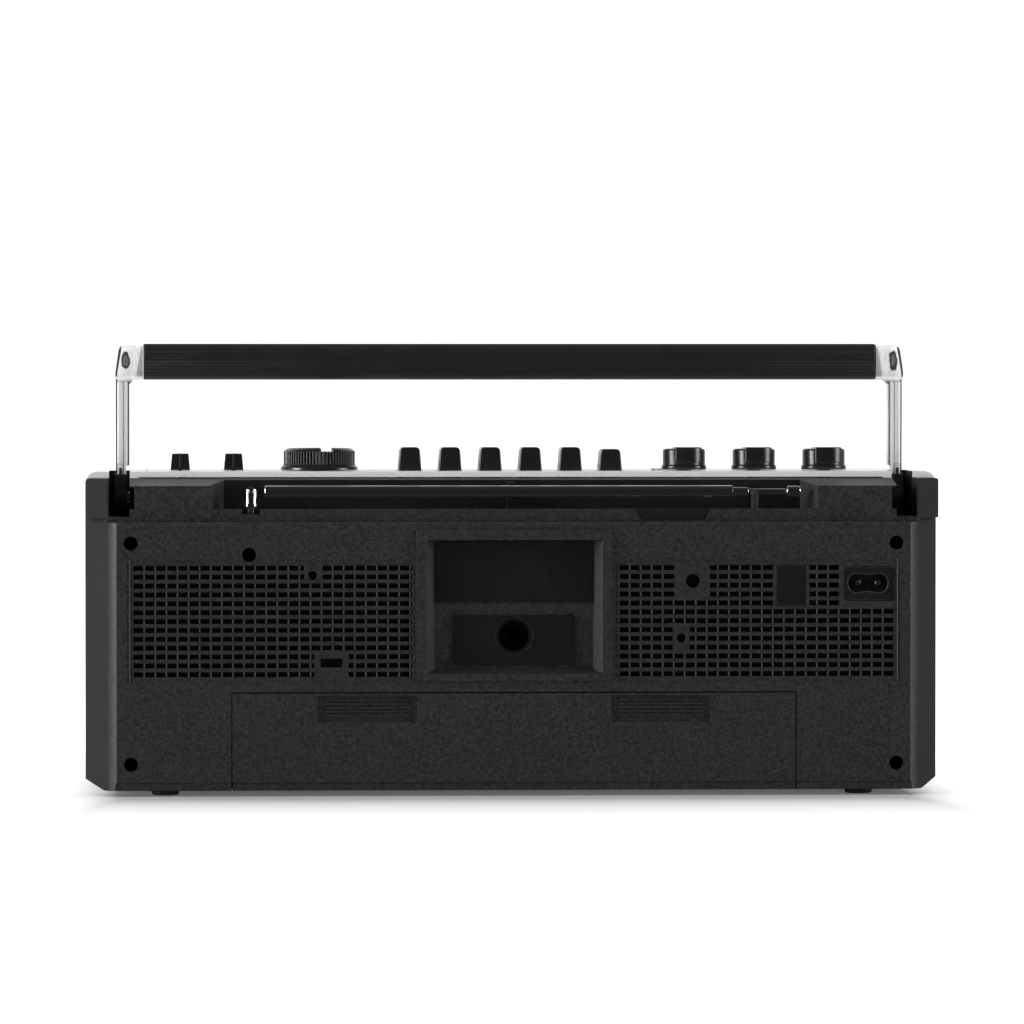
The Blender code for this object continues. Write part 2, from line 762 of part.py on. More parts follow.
def mains_inlet():
    """An appliance inlet with a figure of eight recess and two pins."""
    low = [INLET_PLACE[i] - INLET_SIZE[i] / 2 + GAP for i in (0, 1)]
    high = [INLET_PLACE[i] + INLET_SIZE[i] / 2 - GAP for i in (0, 1)]
    inlet = plate("mains_inlet", [rounded(low, high, 2.1)], "XZ", 38, REAR - 1, GLOSS_BLACK)
    z = INLET_PLACE[1] + 0.3
    pins = [PIN_MIDDLE - PIN_SPACING / 2, PIN_MIDDLE + PIN_SPACING / 2]
    recess = (
        arc((pins[1], z), 4.5, -70, 70, 8)
        + [(PIN_MIDDLE, z + 3.6)]
        + arc((pins[0], z), 4.5, 110, 250, 8)
        + [(PIN_MIDDLE, z - 3.6)]
    )
    cut(inlet, plate("inlet_recess", [recess], "XZ", 41.5, 60))
    for name, x in zip(("mains_pin_left", "mains_pin_right"), reversed(pins)):
        rod(name, 1.2, (x, 41.8, z), (x, REAR - 2.5, z), 12, BRASS)


def feet():
    profile = [(0, 2.3), (5.4, 2.3), (6, 1.8), (6, 0.6), (5.4, 0), (0, 0)]
    for name, x, y in (
        ("foot_rear_left", 152, 38),
        ("foot_rear_right", -152, 38),
        ("foot_front_left", 152, -38),
        ("foot_front_right", -152, -38),
    ):
        turned(name, profile, (x, y, 0), sides=20, finish=RUBBER)


def handle():
    """The ribbed grip between two arms, each with an elbow at the top and a pivot boss at the bottom."""
    y, z = HANDLE_PIVOT
    section = rounded((y - GRIP_DEPTH / 2, GRIP_LOW), (y + GRIP_DEPTH / 2, GRIP_HIGH), 4.5)
    grip = plate("handle_grip", [section], "YZ", -GRIP_HALF, GRIP_HALF, GLOSS_BLACK)
    pieces = [grip]
    arm_outline = [
        (LEG_INNER, z),
        (LEG_INNER, LEG_TOP),
        (ARM_INNER, LEG_TOP + 0.8),
        (ARM_INNER, GRIP_LOW - 2),
        (ARM_INNER - 2.5, GRIP_LOW + 0.5),
        (ARM_INNER - 2.5, GRIP_LOW + 2),
        (ARM_OUTER, GRIP_LOW + 2),
        (ARM_OUTER, z),
    ]
    elbow_outline = [
        (GRIP_HALF + GAP, GRIP_LOW - 1),
        (ELBOW_OUTER, GRIP_LOW - 1),
        (ELBOW_OUTER - 0.1, GRIP_LOW + 3),
        (ELBOW_OUTER - 1.5, GRIP_HIGH - 3),
        (ELBOW_OUTER - 2.1, GRIP_HIGH - 1.3),
        (ELBOW_OUTER - 3.8, GRIP_HIGH + 1),
        (GRIP_HALF + GAP, GRIP_HIGH + 1),
    ]
    for side, name in ((1, "handle_arm_left"), (-1, "handle_arm_right")):
        outline = [(side * x, height) for x, height in arm_outline]
        arm = plate(name, [outline], "XZ", y - ARM_HALF_DEPTH, y + ARM_HALF_DEPTH, CHROME)
        front = [(side * x, height) for x, height in elbow_outline]
        elbow = plate(f"{name}_elbow", [front], "XZ", y - GRIP_DEPTH, y + GRIP_DEPTH)
        ends = sorted((side * (GRIP_HALF - 5), side * (ARM_OUTER + 5)))
        keep_common(elbow, plate(f"{name}_section", [section], "YZ", *ends))
        boss_ends = (side * (LEG_INNER + 0.2), y, z), (side * (ARM_OUTER + 0.4), y, z)
        boss = rod(f"{name}_boss", 6.2, *boss_ends, 24)
        pin = rod(f"{name}_pin", 2.5, (side * 164.2, y, z), (side * (LEG_INNER + 1), y, z), 16)
        join(arm, elbow, boss, pin)
        pieces.append(arm)
    hang_on("handle_pivot", (0, y, z), *pieces)


def antenna():
    """A swivelling base, a tilting tube and two sections that slide out of it."""
    x, y, z = ANTENNA_X, ANTENNA_Y, ANTENNA_Z
    base = turned(
        "antenna_base",
        [(0, 128.8), (3.5, 128.8), (3.7, 128.4), (3.7, 123.4), (3.4, 123.1), (0, 123.1)],
        (x, y, 0),
        sides=24,
        finish=CHROME,
    )
    ear = [(x - 3.4, 128), (x + 3.4, 128)] + arc((x, z), 3.4, 0, 180, 8)
    for side in (-1, 1):
        ends = sorted((y + side * 1.65, y + side * 3.3))
        join(base, plate(f"antenna_ear_{side}", [ear], "XZ", *ends))
    tube = tube_section("antenna_tube", 108.7, TUBE_END, TUBE_RADIUS, 2.25, 20)
    tongue = [(105, z - 2.0), (105, z + 2.0)][::-1] + [(x, z - 2.6)] + arc((x, z), 2.6, -90, 90, 6)[1:]
    join(tube, plate("antenna_tongue", [tongue], "XZ", y - 1.3, y + 1.3))
    middle = tube_section("antenna_middle", 103, MIDDLE_END, 1.95, 1.6, 16)
    inner = rod("antenna_inner", 1.35, (98, y, z), (INNER_END + GAP, y, z), 12, CHROME)
    tip_profile = [(0, 6.2), (2.0, 6.2), (2.5, 5.7), (2.5, 0.5), (2.0, 0), (0, 0)]
    tip = turned("antenna_tip", tip_profile, (INNER_END, y, z), "-X", 16, CHROME)
    hang_on("antenna_turn_axis", (x, y, z), base)
    hang_on("antenna_raise_axis", (x, y, z), tube, middle, inner, tip)


def tube_section(name, start, end, radius, bore, sides):
    """A tube along X, closed at its start and open at its end."""
    y, z = ANTENNA_Y, ANTENNA_Z
    length = start - end
    profile = [
        (0, 2.5),
        (bore, 2.5),
        (bore, length),
        (radius - 0.1, length),
        (radius, length - 0.3),
        (radius, 0.3),
        (radius - 0.3, 0),
        (0, 0),
    ]
    return turned(name, profile, (start, y, z), "-X", sides, CHROME)


def speakers():
    basket = [
        (0, -22),
        (24, -22),
        (45.5, 0),
        (52, 0),
        (52, -2),
        (47.8, -2),
        (27, -24),
        (31, -24),
        (31, -38),
        (0, -38),
    ]
    cone = [(0, -11), (12, -14.5), (43, -0.8), (43.2, -1.5), (12.2, -15.8), (0, -12.2)]
    for side, word in ((1, "left"), (-1, "right")):
        x = side * SPEAKER_X
        front = CABINET_FRONT + WALL + GAP
        turned(f"speaker_basket_{word}", basket, (x, front, SPEAKER_Z), "-Y", 32, STEEL)
        turned(f"speaker_cone_{word}", cone, (x, front, SPEAKER_Z), "-Y", 32, CONE_PAPER)
        grille = rod(
            f"speaker_grille_{word}",
            53,
            (x, -OUTMOST, SPEAKER_Z),
            (x, CABINET_FRONT - GAP, SPEAKER_Z),
            40,
            GRILLE_METAL,
        )
        slots = []
        for row in range(-5, 6):
            z = SPEAKER_Z + row * 7.6
            half = sqrt(44**2 - (row * 7.6) ** 2)
            slots.append(((x - half, -60, z - 2), (x + half, -50, z + 2)))
        cut(grille, boxes(f"grille_slots_{word}", slots))


def dial():
    box("dial_window", (-DIAL_HALF, CABINET_FRONT, DIAL_LOW), (DIAL_HALF, -52, DIAL_HIGH), CLEAR_PLASTIC)
    box("dial_plate", (-DIAL_HALF, -47.5, DIAL_LOW), (DIAL_HALF, -46.5, DIAL_HIGH), DIAL_CREAM)
    box("dial_pointer", (-0.6, -50.6, 108), (0.6, -49.2, 126), RUBBER)


def cassette_door():
    """The front flap of the cassette bay, with guides that hold the cassette and a clear window."""
    half = CASSETTE_HALF
    front = CABINET_FRONT
    low, high = (-half, front, CASSETTE_LOW), (half, front + WALL, CASSETTE_HIGH - GAP)
    door = box("cassette_door", low, high, SILVER_PLASTIC)
    guides = [ordered((side * 52.6, front + 2, 26), (side * 54.4, -40, 88)) for side in (-1, 1)]
    join(door, boxes("cassette_guides", guides))
    across, bottom, top = WINDOW_HALF, WINDOW_LOW, WINDOW_HIGH
    cut(door, box("window_opening", (-across, -60, bottom), (across, -45, top)))
    low, high = (GAP - across, front + 0.4, bottom + GAP), (across - GAP, front + 2.2, top - GAP)
    window = box("cassette_window", low, high, CLEAR_PLASTIC)
    hang_on("cassette_door_pivot", (0, front + 0.5, CASSETTE_LOW + 0.6), door, window)


def tape_deck():
    face = DECK_FACE
    x, z = CAPSTAN
    chassis = box("deck_chassis", (-56, face, 20), (56, face + 1.5, 104), STEEL)
    cut(chassis, rod("capstan_bearing", 1.8, (x, -45, z), (x, -30, z), 12))
    for name, reel_x in (("supply_reel", REEL_X), ("takeup_reel", -REEL_X)):
        cut(chassis, rod(f"{name}_bearing", 2.5, (reel_x, -45, REEL_Z), (reel_x, -30, REEL_Z), 12))
        reel_profile = [
            (0, 7.5),
            (2.2, 7.5),
            (3.3, 6),
            (3.3, 1.2),
            (8.5, 1.2),
            (8.5, 0.4),
            (2, 0.4),
            (2, -5),
            (0, -5),
        ]
        reel = turned(name, reel_profile, (reel_x, face, REEL_Z), "-Y", 20, BLACK_PLASTIC)
        teeth = []
        for turn in range(3):
            angle = turn * 2 * pi / 3
            across, up = reel_x + 3.6 * cos(angle), REEL_Z + 3.6 * sin(angle)
            teeth.append(((across - 0.6, face - 5.5, up - 0.6), (across + 0.6, face - 0.8, up + 0.6)))
        join(reel, boxes(f"{name}_teeth", teeth))
    turned(
        "flywheel",
        [
            (0, 9),
            (CAPSTAN_RADIUS, 9),
            (CAPSTAN_RADIUS, -5.3),
            (FLYWHEEL_RADIUS, -5.3),
            (FLYWHEEL_RADIUS, -9),
            (0, -9),
        ],
        (x, face, z),
        "-Y",
        40,
        BRASS,
    )
    motor_x, motor_z = MOTOR
    rod("deck_motor", 15, (motor_x, -25.5, motor_z), (motor_x, -4, motor_z), 24, STEEL)
    turned(
        "motor_pulley",
        [(0, -5.5), (PULLEY_RADIUS, -5.5), (PULLEY_RADIUS, -8.8), (1, -8.8), (1, -11.2), (0, -11.2)],
        (motor_x, face, motor_z),
        "-Y",
        16,
        BRASS,
    )
    drive_belt()
    head_plate = box("head_plate", (-17, -39.4, 92), (17, -38, 102), STEEL)
    join(head_plate, box("tape_head", (-6.5, -46.5, 89), (6.5, -38.5, 96)))
    pinch_roller()


def drive_belt():
    """A flat loop round the flywheel and the motor pulley, just clear of both."""
    reach = MOTOR[0] - CAPSTAN[0]
    loops = []
    for clearance in (1.3, GAP):
        big, small = FLYWHEEL_RADIUS + clearance, PULLEY_RADIUS + clearance
        lean = 90 - atan2(big - small, sqrt(reach**2 - (big - small) ** 2)) * 180 / pi
        loops.append(arc(CAPSTAN, big, lean, 360 - lean, 36) + arc(MOTOR, small, -lean, lean, 12))
    plate("drive_belt", loops, "XZ", -31.2, -28.8, RUBBER)


def pinch_roller():
    """A rubber roller on an arm, which swings down to the capstan."""
    x, z = CAPSTAN
    centre = z + CAPSTAN_RADIUS + ROLLER_RADIUS + ROLLER_LIFT
    pivot_x, pivot_z = x - 20, centre + 5
    roller = rod("pinch_roller", ROLLER_RADIUS, (x, -46.5, centre), (x, -39.5, centre), 20, RUBBER)
    arm = [
        (pivot_x - 3, pivot_z - 3),
        (x + 3, centre - 3),
        (x + 3, centre + 3),
        (pivot_x - 3, pivot_z + 3),
    ]
    join(roller, plate("pinch_arm", [arm], "XZ", -40, -38.2))
    hang_on("pinch_pivot", (pivot_x, -39, pivot_z), roller)


def electronics():
    """The main board, the mains transformer, the tuning capacitor and the ferrite rod aerial."""
    box("main_board", (-126, 12, 50), (126, 13.6, 112), BOARD_GREEN)
    transformer = box("mains_transformer", (-173, -8, 5.6), (-133, 28, 40), STEEL)
    join(transformer, box("transformer_bobbin", (-168, -10.5, 11), (-138, 29, 34.6)))
    low, high = (TUNING_X - 11, CONTROL_Y - 10, 115), (TUNING_X + 11, CONTROL_Y + 10, 135.9)
    box("tuning_capacitor", low, high, CLEAR_PLASTIC)
    rod("ferrite_aerial", 4.5, (-100, 22, 117.6), (0, 22, 117.6), 16, FERRITE)


def build():
    trough_supports(rear_cover())
    front_cabinet()
    top_panel()
    keys()
    small_knobs()
    tuning_knob()
    switches()
    battery_door()
    battery_bay()
    centre_labels()
    blanking_plate()
    mains_inlet()
    feet()
    handle()
    antenna()
    speakers()
    dial()
    cassette_door()
    tape_deck()
    electronics()


build()
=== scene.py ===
"""The looks of a portable radio cassette recorder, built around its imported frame.

The recorder stands with its back towards +Y, which is where the camera looks from. Everything is in
metres; MM turns millimetres into metres.
"""

import json
from math import acos, cos, hypot, pi, radians, sin

import bmesh
import bpy
from mathutils import Matrix, Vector

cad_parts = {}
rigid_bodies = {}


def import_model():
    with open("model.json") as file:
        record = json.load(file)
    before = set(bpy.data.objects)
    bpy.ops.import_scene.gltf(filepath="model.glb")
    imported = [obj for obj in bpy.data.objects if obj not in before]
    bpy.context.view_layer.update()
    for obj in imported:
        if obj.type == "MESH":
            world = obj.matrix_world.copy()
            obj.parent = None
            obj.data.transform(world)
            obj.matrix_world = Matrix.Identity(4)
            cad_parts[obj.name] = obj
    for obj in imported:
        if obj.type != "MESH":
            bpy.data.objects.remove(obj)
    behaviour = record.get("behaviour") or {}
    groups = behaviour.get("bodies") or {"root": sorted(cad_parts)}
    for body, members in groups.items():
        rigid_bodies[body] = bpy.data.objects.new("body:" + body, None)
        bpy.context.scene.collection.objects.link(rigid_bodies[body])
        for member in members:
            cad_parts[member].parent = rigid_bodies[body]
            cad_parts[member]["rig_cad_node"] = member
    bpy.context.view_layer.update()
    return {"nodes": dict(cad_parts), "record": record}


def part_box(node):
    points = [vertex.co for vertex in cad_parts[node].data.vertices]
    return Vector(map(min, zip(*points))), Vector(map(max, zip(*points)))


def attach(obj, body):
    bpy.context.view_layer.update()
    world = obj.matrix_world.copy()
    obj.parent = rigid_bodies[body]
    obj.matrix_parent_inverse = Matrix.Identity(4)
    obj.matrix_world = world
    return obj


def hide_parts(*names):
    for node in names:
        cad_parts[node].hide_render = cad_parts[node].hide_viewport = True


MM = 0.001

for leftover in list(bpy.data.objects):
    bpy.data.objects.remove(leftover, do_unlink=True)

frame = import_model()
NODES = frame["nodes"]
RECORD = frame["record"]
SHELL = "cabinet"

# places on the rear, as (x, z) in millimetres
PEG_PLACES = [(87.9, 96.3), (-72.8, 68.8)]
SCREW_PLACES = [(167, 110.3), (-167, 110.3), (167, 14.1), (-167, 14.1), (115.6, 105.2), (-77.9, 93.7)]
ROUND_WELL = (0, 69.5)


# ---------------------------------------------------------------- node helpers


class Tree:
    """A node tree, with short calls for the nodes that this script uses."""

    def __init__(self, tree):
        self.tree = tree

    def node(self, kind, **settings):
        made = self.tree.nodes.new(kind)
        for key, value in settings.items():
            setattr(made, key, value)
        return made

    def link(self, source, target):
        self.tree.links.new(source, target)

    def feed(self, source, target):
        """Gives an input a number, a colour or another node's output."""
        if hasattr(source, "links"):
            self.link(source, target)
        elif hasattr(source, "__len__"):
            target.default_value = (*source, 1)
        else:
            target.default_value = source

    def split(self, kind):
        """The X, Y and Z of one of the texture coordinates."""
        made = self.node("ShaderNodeSeparateXYZ")
        self.link(self.node("ShaderNodeTexCoord").outputs[kind], made.inputs[0])
        return made.outputs

    def ramp(self, value, stops):
        """A colour ramp through (position, grey or colour) stops."""
        made = self.node("ShaderNodeValToRGB")
        elements = made.color_ramp.elements
        while len(elements) < len(stops):
            elements.new(0.5)
        for element, (position, colour) in zip(elements, stops):
            element.position = position
            element.color = (*colour, 1) if hasattr(colour, "__len__") else (colour, colour, colour, 1)
        self.link(value, made.inputs["Fac"])
        return made.outputs["Color"]

    def mix(self, share, first, second, blend="MIX"):
        made = self.node("ShaderNodeMix", data_type="RGBA", blend_type=blend)
        for source, target in ((share, 0), (first, 6), (second, 7)):
            self.feed(source, made.inputs[target])
        return made.outputs[2]

    def math(self, operation, first, second=None):
        made = self.node("ShaderNodeMath", operation=operation)
        self.feed(first, made.inputs[0])
        if second is not None:
            self.feed(second, made.inputs[1])
        return made.outputs[0]


class Graph(Tree):
    """A new material's node tree, with its texture, bump and shader."""

    def __init__(self, name):
        self.material = bpy.data.materials.new(name)
        self.material.use_nodes = True
        super().__init__(self.material.node_tree)
        self.shader = self.tree.nodes["Principled BSDF"]

    def place(self):
        """The object's own coordinates, in metres."""
        return self.node("ShaderNodeTexCoord").outputs["Object"]

    def scaled(self, scale):
        mapping = self.node("ShaderNodeMapping")
        mapping.inputs["Scale"].default_value = scale
        self.link(self.place(), mapping.inputs["Vector"])
        return mapping.outputs["Vector"]

    def noise(self, scale, detail=3.0, roughness=0.55, place=None):
        made = self.node("ShaderNodeTexNoise")
        made.inputs["Scale"].default_value = scale
        made.inputs["Detail"].default_value = detail
        made.inputs["Roughness"].default_value = roughness
        self.link(place or self.place(), made.inputs["Vector"])
        return made.outputs["Fac"]

    def bump(self, height, strength, distance):
        made = self.node("ShaderNodeBump")
        made.inputs["Strength"].default_value = strength
        made.inputs["Distance"].default_value = distance
        self.link(height, made.inputs["Height"])
        return made.outputs["Normal"]

    def set(self, **values):
        """Shader inputs by name, each one a value or another node's output."""
        for key, value in values.items():
            self.feed(value, self.shader.inputs[key.replace("_", " ")])


# ------------------------------------------------------------------- materials


def grained_black(name, colour, grain=1.0, roughness=0.5):
    """Black moulding with a spark-eroded grain, a little greyer on the grain's peaks."""
    graph = Graph(name)
    fine = graph.noise(1500, 1.0)
    coarse = graph.noise(620, 1.0)
    height = graph.math("ADD", fine, graph.math("MULTIPLY", coarse, 0.6))
    soft = graph.noise(9, 4.0)
    dark = tuple((1 - 0.42 * grain) * c for c in colour)
    light = tuple((1 + 0.52 * grain) * c for c in colour)
    spread = graph.math("ADD", graph.math("MULTIPLY", fine, 0.5), graph.math("MULTIPLY", coarse, 0.5))
    tone = graph.ramp(spread, [(0.38, dark), (0.62, light)])
    graph.set(
        Base_Color=tone,
        Roughness=graph.ramp(soft, [(0.3, roughness - 0.04), (0.7, roughness + 0.05)]),
        Normal=graph.bump(height, 0.55 * grain, 0.00012),
    )
    return graph.material


def smooth_plastic(name, colour, roughness=0.25, swirl=0.06):
    """Moulded plastic with the faint flow and handling marks of a clean used part."""
    graph = Graph(name)
    flow = graph.noise(60, 5.0, 0.6)
    marks = graph.noise(900, 2.0)
    dark, light = (tuple(f * c for c in colour) for f in (0.9, 1.12))
    graph.set(
        Base_Color=graph.ramp(flow, [(0.3, dark), (0.7, light)]),
        Roughness=graph.ramp(flow, [(0.3, roughness - swirl / 2), (0.7, roughness + swirl)]),
        Normal=graph.bump(marks, 0.05, 0.00005),
    )
    return graph.material


def silver_paint(name, colour):
    """Satin silver paint: fine bright flakes over a pale grey coat, darker on the recorder's two sides as
    painted shade.
    """
    graph = Graph(name)
    flakes = graph.noise(5200, 1.0)
    drift = graph.noise(14, 3.0)
    light = tuple(min(1, 1.08 * c) for c in colour)
    dark = tuple(0.94 * c for c in colour)
    # painted shade: faces that look to the sides get down to half the colour
    side = graph.ramp(graph.math("ABSOLUTE", graph.split("Normal")["X"]), [(0.3, 1.0), (0.9, 0.5)])
    graph.set(
        Base_Color=graph.mix(1.0, graph.ramp(flakes, [(0.4, dark), (0.6, light)]), side, "MULTIPLY"),
        Metallic=0.12,
        Roughness=graph.ramp(drift, [(0.3, 0.34), (0.7, 0.40)]),
        Coat_Weight=0.25,
        Coat_Roughness=0.2,
        Normal=graph.bump(flakes, 0.08, 0.00004),
    )
    return graph.material


def chrome_plate(name):
    """Bright plating with a trace of orange peel and fingermarks."""
    graph = Graph(name)
    peel = graph.noise(420, 2.0)
    smear = graph.noise(38, 4.0, 0.65)
    graph.set(
        Base_Color=graph.ramp(smear, [(0.3, (0.78, 0.79, 0.80)), (0.7, (0.86, 0.86, 0.87))]),
        Metallic=1.0,
        Roughness=graph.ramp(smear, [(0.35, 0.05), (0.75, 0.11)]),
        Normal=graph.bump(peel, 0.04, 0.00006),
    )
    return graph.material


def banded(graph, value, ends, bands):
    """A ramp of greys over a length in millimetres, from (place, grey) stops."""
    low, high = ends
    share = graph.math("DIVIDE", graph.math("SUBTRACT", value, low), high - low)
    return graph.ramp(share, [((place - low) / (high - low), grey) for place, grey in bands])


# greys of the painted reflections across the arms and their elbows, by the distance from the recorder's
# middle in millimetres
ARM_REFLECTION_BANDS = [
    (167.8, 0.08),
    (168.35, 0.10),
    (168.7, 0.76),
    (170.0, 0.84),
    (170.15, 0.12),
    (170.5, 0.12),
    (170.7, 0.66),
    (172.0, 0.68),
    (172.3, 0.84),
    (173.0, 0.95),
    (173.2, 0.04),
]
ELBOW_REFLECTION_BANDS = [
    (161.6, 0.26),
    (163.2, 0.34),
    (164.3, 0.38),
    (164.9, 0.78),
    (166.8, 0.84),
    (168.0, 0.76),
    (170.5, 0.84),
    (172.9, 1.0),
    (173.2, 0.06),
]
BAND_RANGE = (160, 175)
HEIGHT_RANGE = (140, 200)
# painted reflections on the elbows, by height and place in millimetres: dark lines at their top and foot,
# lines that lean, and a dark patch in the middle
ELBOW_EDGE_REFLECTIONS = [(180.4, 0.25), (181.3, 1.0), (195.7, 1.0), (196.2, 0.15)]
ELBOW_START = [(180.2, 0.0), (180.8, 1.0)]
LEAN_START, LEAN = 184.0, 0.17
DARK_REFLECTION_CENTRE = (169.4, 189.8)
DARK_REFLECTION_REACH = (2.0, 4.4)
DARK_REFLECTION_TONES = [(0.0, 0.14), (0.35, 0.20), (0.55, 0.05), (0.8, 0.06), (1.0, 1.0)]


def elbow_tone(graph, across, height):
    """The grey of an elbow's painted reflections: its lines lean inwards as it rises, and a painted dark
    reflection lies in its middle.
    """
    risen = graph.math("MAXIMUM", graph.math("SUBTRACT", height, LEAN_START), 0.0)
    leaning = graph.math("ADD", across, graph.math("MULTIPLY", risen, LEAN))
    lines = banded(graph, leaning, BAND_RANGE, ELBOW_REFLECTION_BANDS)
    wander = graph.math("MULTIPLY", graph.math("SUBTRACT", graph.noise(260, 2.0), 0.5), 1.1)
    squares = []
    for value, centre, reach in zip((across, height), DARK_REFLECTION_CENTRE, DARK_REFLECTION_REACH):
        share = graph.math("DIVIDE", graph.math("SUBTRACT", value, centre), reach)
        squares.append(graph.math("POWER", share, 2.0))
    away = graph.math("ADD", graph.math("SQRT", graph.math("ADD", *squares)), wander)
    with_dark_reflection = graph.mix(1.0, lines, graph.ramp(away, DARK_REFLECTION_TONES), "MULTIPLY")
    return graph.mix(1.0, with_dark_reflection, banded(graph, height, HEIGHT_RANGE, ELBOW_EDGE_REFLECTIONS), "MULTIPLY")


def satin_metal(name):
    """Bright casting for the handle's arms, with painted reflections: lines along them and a dark patch in
    each elbow.
    """
    graph = Graph(name)
    lines = graph.noise(900, 4.0, 0.7, graph.scaled((1, 1, 0.06)))
    place = graph.split("Object")
    across = graph.math("MULTIPLY", graph.math("ABSOLUTE", place["X"]), 1 / MM)
    height = graph.math("MULTIPLY", place["Z"], 1 / MM)
    arm = banded(graph, across, BAND_RANGE, ARM_REFLECTION_BANDS)
    share = banded(graph, height, HEIGHT_RANGE, ELBOW_START)
    # faces that look along Y get the painted reflections, the rest only the plain grey
    flat = graph.ramp(graph.math("ABSOLUTE", graph.split("Normal")["Y"]), [(0.55, 0.0), (0.8, 1.0)])
    plain = graph.ramp(lines, [(0.3, (0.90, 0.905, 0.91)), (0.7, (0.97, 0.97, 0.975))])
    tone = graph.mix(1.0, plain, graph.mix(share, arm, elbow_tone(graph, across, height)), "MULTIPLY")
    graph.set(
        Base_Color=graph.mix(flat, plain, tone),
        Metallic=0.15,
        Roughness=graph.ramp(lines, [(0.3, 0.24), (0.7, 0.34)]),
        Normal=graph.bump(lines, 0.05, 0.00004),
    )
    return graph.material


def plain_metal(name, colour, roughness):
    """Bare metal with a fine uneven finish."""
    graph = Graph(name)
    lines = graph.noise(700, 4.0, 0.7)
    dark, light = (tuple(f * c for c in colour) for f in (0.85, 1.1))
    graph.set(
        Base_Color=graph.ramp(lines, [(0.3, dark), (0.7, light)]),
        Metallic=1.0,
        Roughness=graph.ramp(lines, [(0.3, roughness - 0.08), (0.7, roughness + 0.08)]),
        Normal=graph.bump(lines, 0.12, 0.00005),
    )
    return graph.material


def rubber_like(name, colour, roughness):
    """A dull gritty surface, such as rubber or ferrite, also used for black sheets and blocks of painted
    shade.
    """
    graph = Graph(name)
    grit = graph.noise(1500, 3.0)
    dark, light = (tuple(f * c for c in colour) for f in (0.75, 1.35))
    graph.set(
        Base_Color=graph.ramp(grit, [(0.35, dark), (0.7, light)]),
        Roughness=graph.ramp(grit, [(0.3, roughness - 0.06), (0.7, min(1, roughness + 0.08))]),
        Normal=graph.bump(grit, 0.25, 0.0001),
    )
    return graph.material


def clear_plastic(name, tint):
    """A clear window with a slight haze."""
    graph = Graph(name)
    haze = graph.noise(120, 4.0)
    graph.set(
        Base_Color=tint,
        Roughness=graph.ramp(haze, [(0.3, 0.02), (0.75, 0.09)]),
        Transmission_Weight=0.92,
        IOR=1.49,
        Alpha=0.55,
        Normal=graph.bump(haze, 0.01, 0.00005),
    )
    return graph.material


def board_laminate(name):
    """Green solder mask over a web of copper tracks."""
    graph = Graph(name)
    tracks = graph.node("ShaderNodeTexBrick")
    tracks.inputs["Scale"].default_value = 70
    tracks.inputs["Mortar Size"].default_value = 0.03
    graph.link(graph.place(), tracks.inputs["Vector"])
    mask = tracks.outputs["Fac"]
    graph.set(
        Base_Color=graph.mix(mask, (0.02, 0.11, 0.045), (0.07, 0.24, 0.09)),
        Roughness=0.42,
        Normal=graph.bump(mask, 0.4, 0.00008),
    )
    return graph.material


def pressed_paper(name):
    """The black fibre of a loudspeaker's cone."""
    graph = Graph(name)
    fibre = graph.noise(600, 6.0, 0.7)
    graph.set(
        Base_Color=graph.ramp(fibre, [(0.3, (0.018, 0.018, 0.019)), (0.7, (0.06, 0.06, 0.062))]),
        Roughness=0.92,
        Normal=graph.bump(fibre, 0.5, 0.0002),
    )
    return graph.material


MAKERS = {
    "black_plastic": lambda n: grained_black(n, (0.018, 0.018, 0.0185), 1.0, 0.50),
    # a greyer, smoother black: a little wear and a painted highlight on edges, vent bars and the fine lines
    # by the vents
    "black_edge": lambda n: grained_black(n, (0.060, 0.060, 0.061), 0.4, 0.36),
    "silver_plastic": lambda n: silver_paint(n, (0.78, 0.785, 0.79)),
    "gloss_black": lambda n: smooth_plastic(n, (0.010, 0.010, 0.0105), 0.22),
    "grip_plastic": lambda n: smooth_plastic(n, (0.010, 0.010, 0.011), 0.42),
    # the next three are painted shade: the trough's back wall, the insides of slots and wells, and the
    # corner blocks
    "trough_black": lambda n: smooth_plastic(n, (0.007, 0.007, 0.0072), 0.45),
    "slot_black": lambda n: smooth_plastic(n, (0.003, 0.003, 0.0032), 0.6),
    "corner_black": lambda n: rubber_like(n, (0.012, 0.012, 0.0123), 0.9),
    "label_black": lambda n: smooth_plastic(n, (0.0062, 0.0062, 0.0065), 0.42, 0.10),
    "chrome": chrome_plate,
    # a bright satin finish with painted reflections, for the handle's arms and their panels
    "satin_chrome": satin_metal,
    "steel": lambda n: plain_metal(n, (0.45, 0.45, 0.46), 0.36),
    "brass": lambda n: plain_metal(n, (0.52, 0.50, 0.46), 0.30),
    "black_zinc": lambda n: plain_metal(n, (0.035, 0.035, 0.038), 0.5),
    # a near-black sheet behind the vents: painted shade for the dark inside
    "dust_cloth": lambda n: rubber_like(n, (0.0022, 0.0022, 0.0024), 0.95),
    "rubber": lambda n: rubber_like(n, (0.030, 0.030, 0.030), 0.55),
    "grille_metal": lambda n: smooth_plastic(n, (0.022, 0.022, 0.023), 0.40),
    "clear_plastic": lambda n: clear_plastic(n, (0.82, 0.85, 0.86)),
    "capacitor_plastic": lambda n: smooth_plastic(n, (0.50, 0.51, 0.50), 0.25),
    "board": board_laminate,
    "cone_paper": pressed_paper,
    "dial_card": lambda n: smooth_plastic(n, (0.74, 0.72, 0.64), 0.55),
    "pointer_red": lambda n: smooth_plastic(n, (0.55, 0.03, 0.015), 0.30),
    "ferrite": lambda n: rubber_like(n, (0.05, 0.045, 0.042), 0.7),
}
MATERIALS = {look: make(look) for look, make in MAKERS.items()}


def finish_with(piece, material):
    """Gives a piece its material."""
    piece.data.materials.clear()
    piece.data.materials.append(MATERIALS[material])


# --------------------------------------------------------------- CAD surfaces

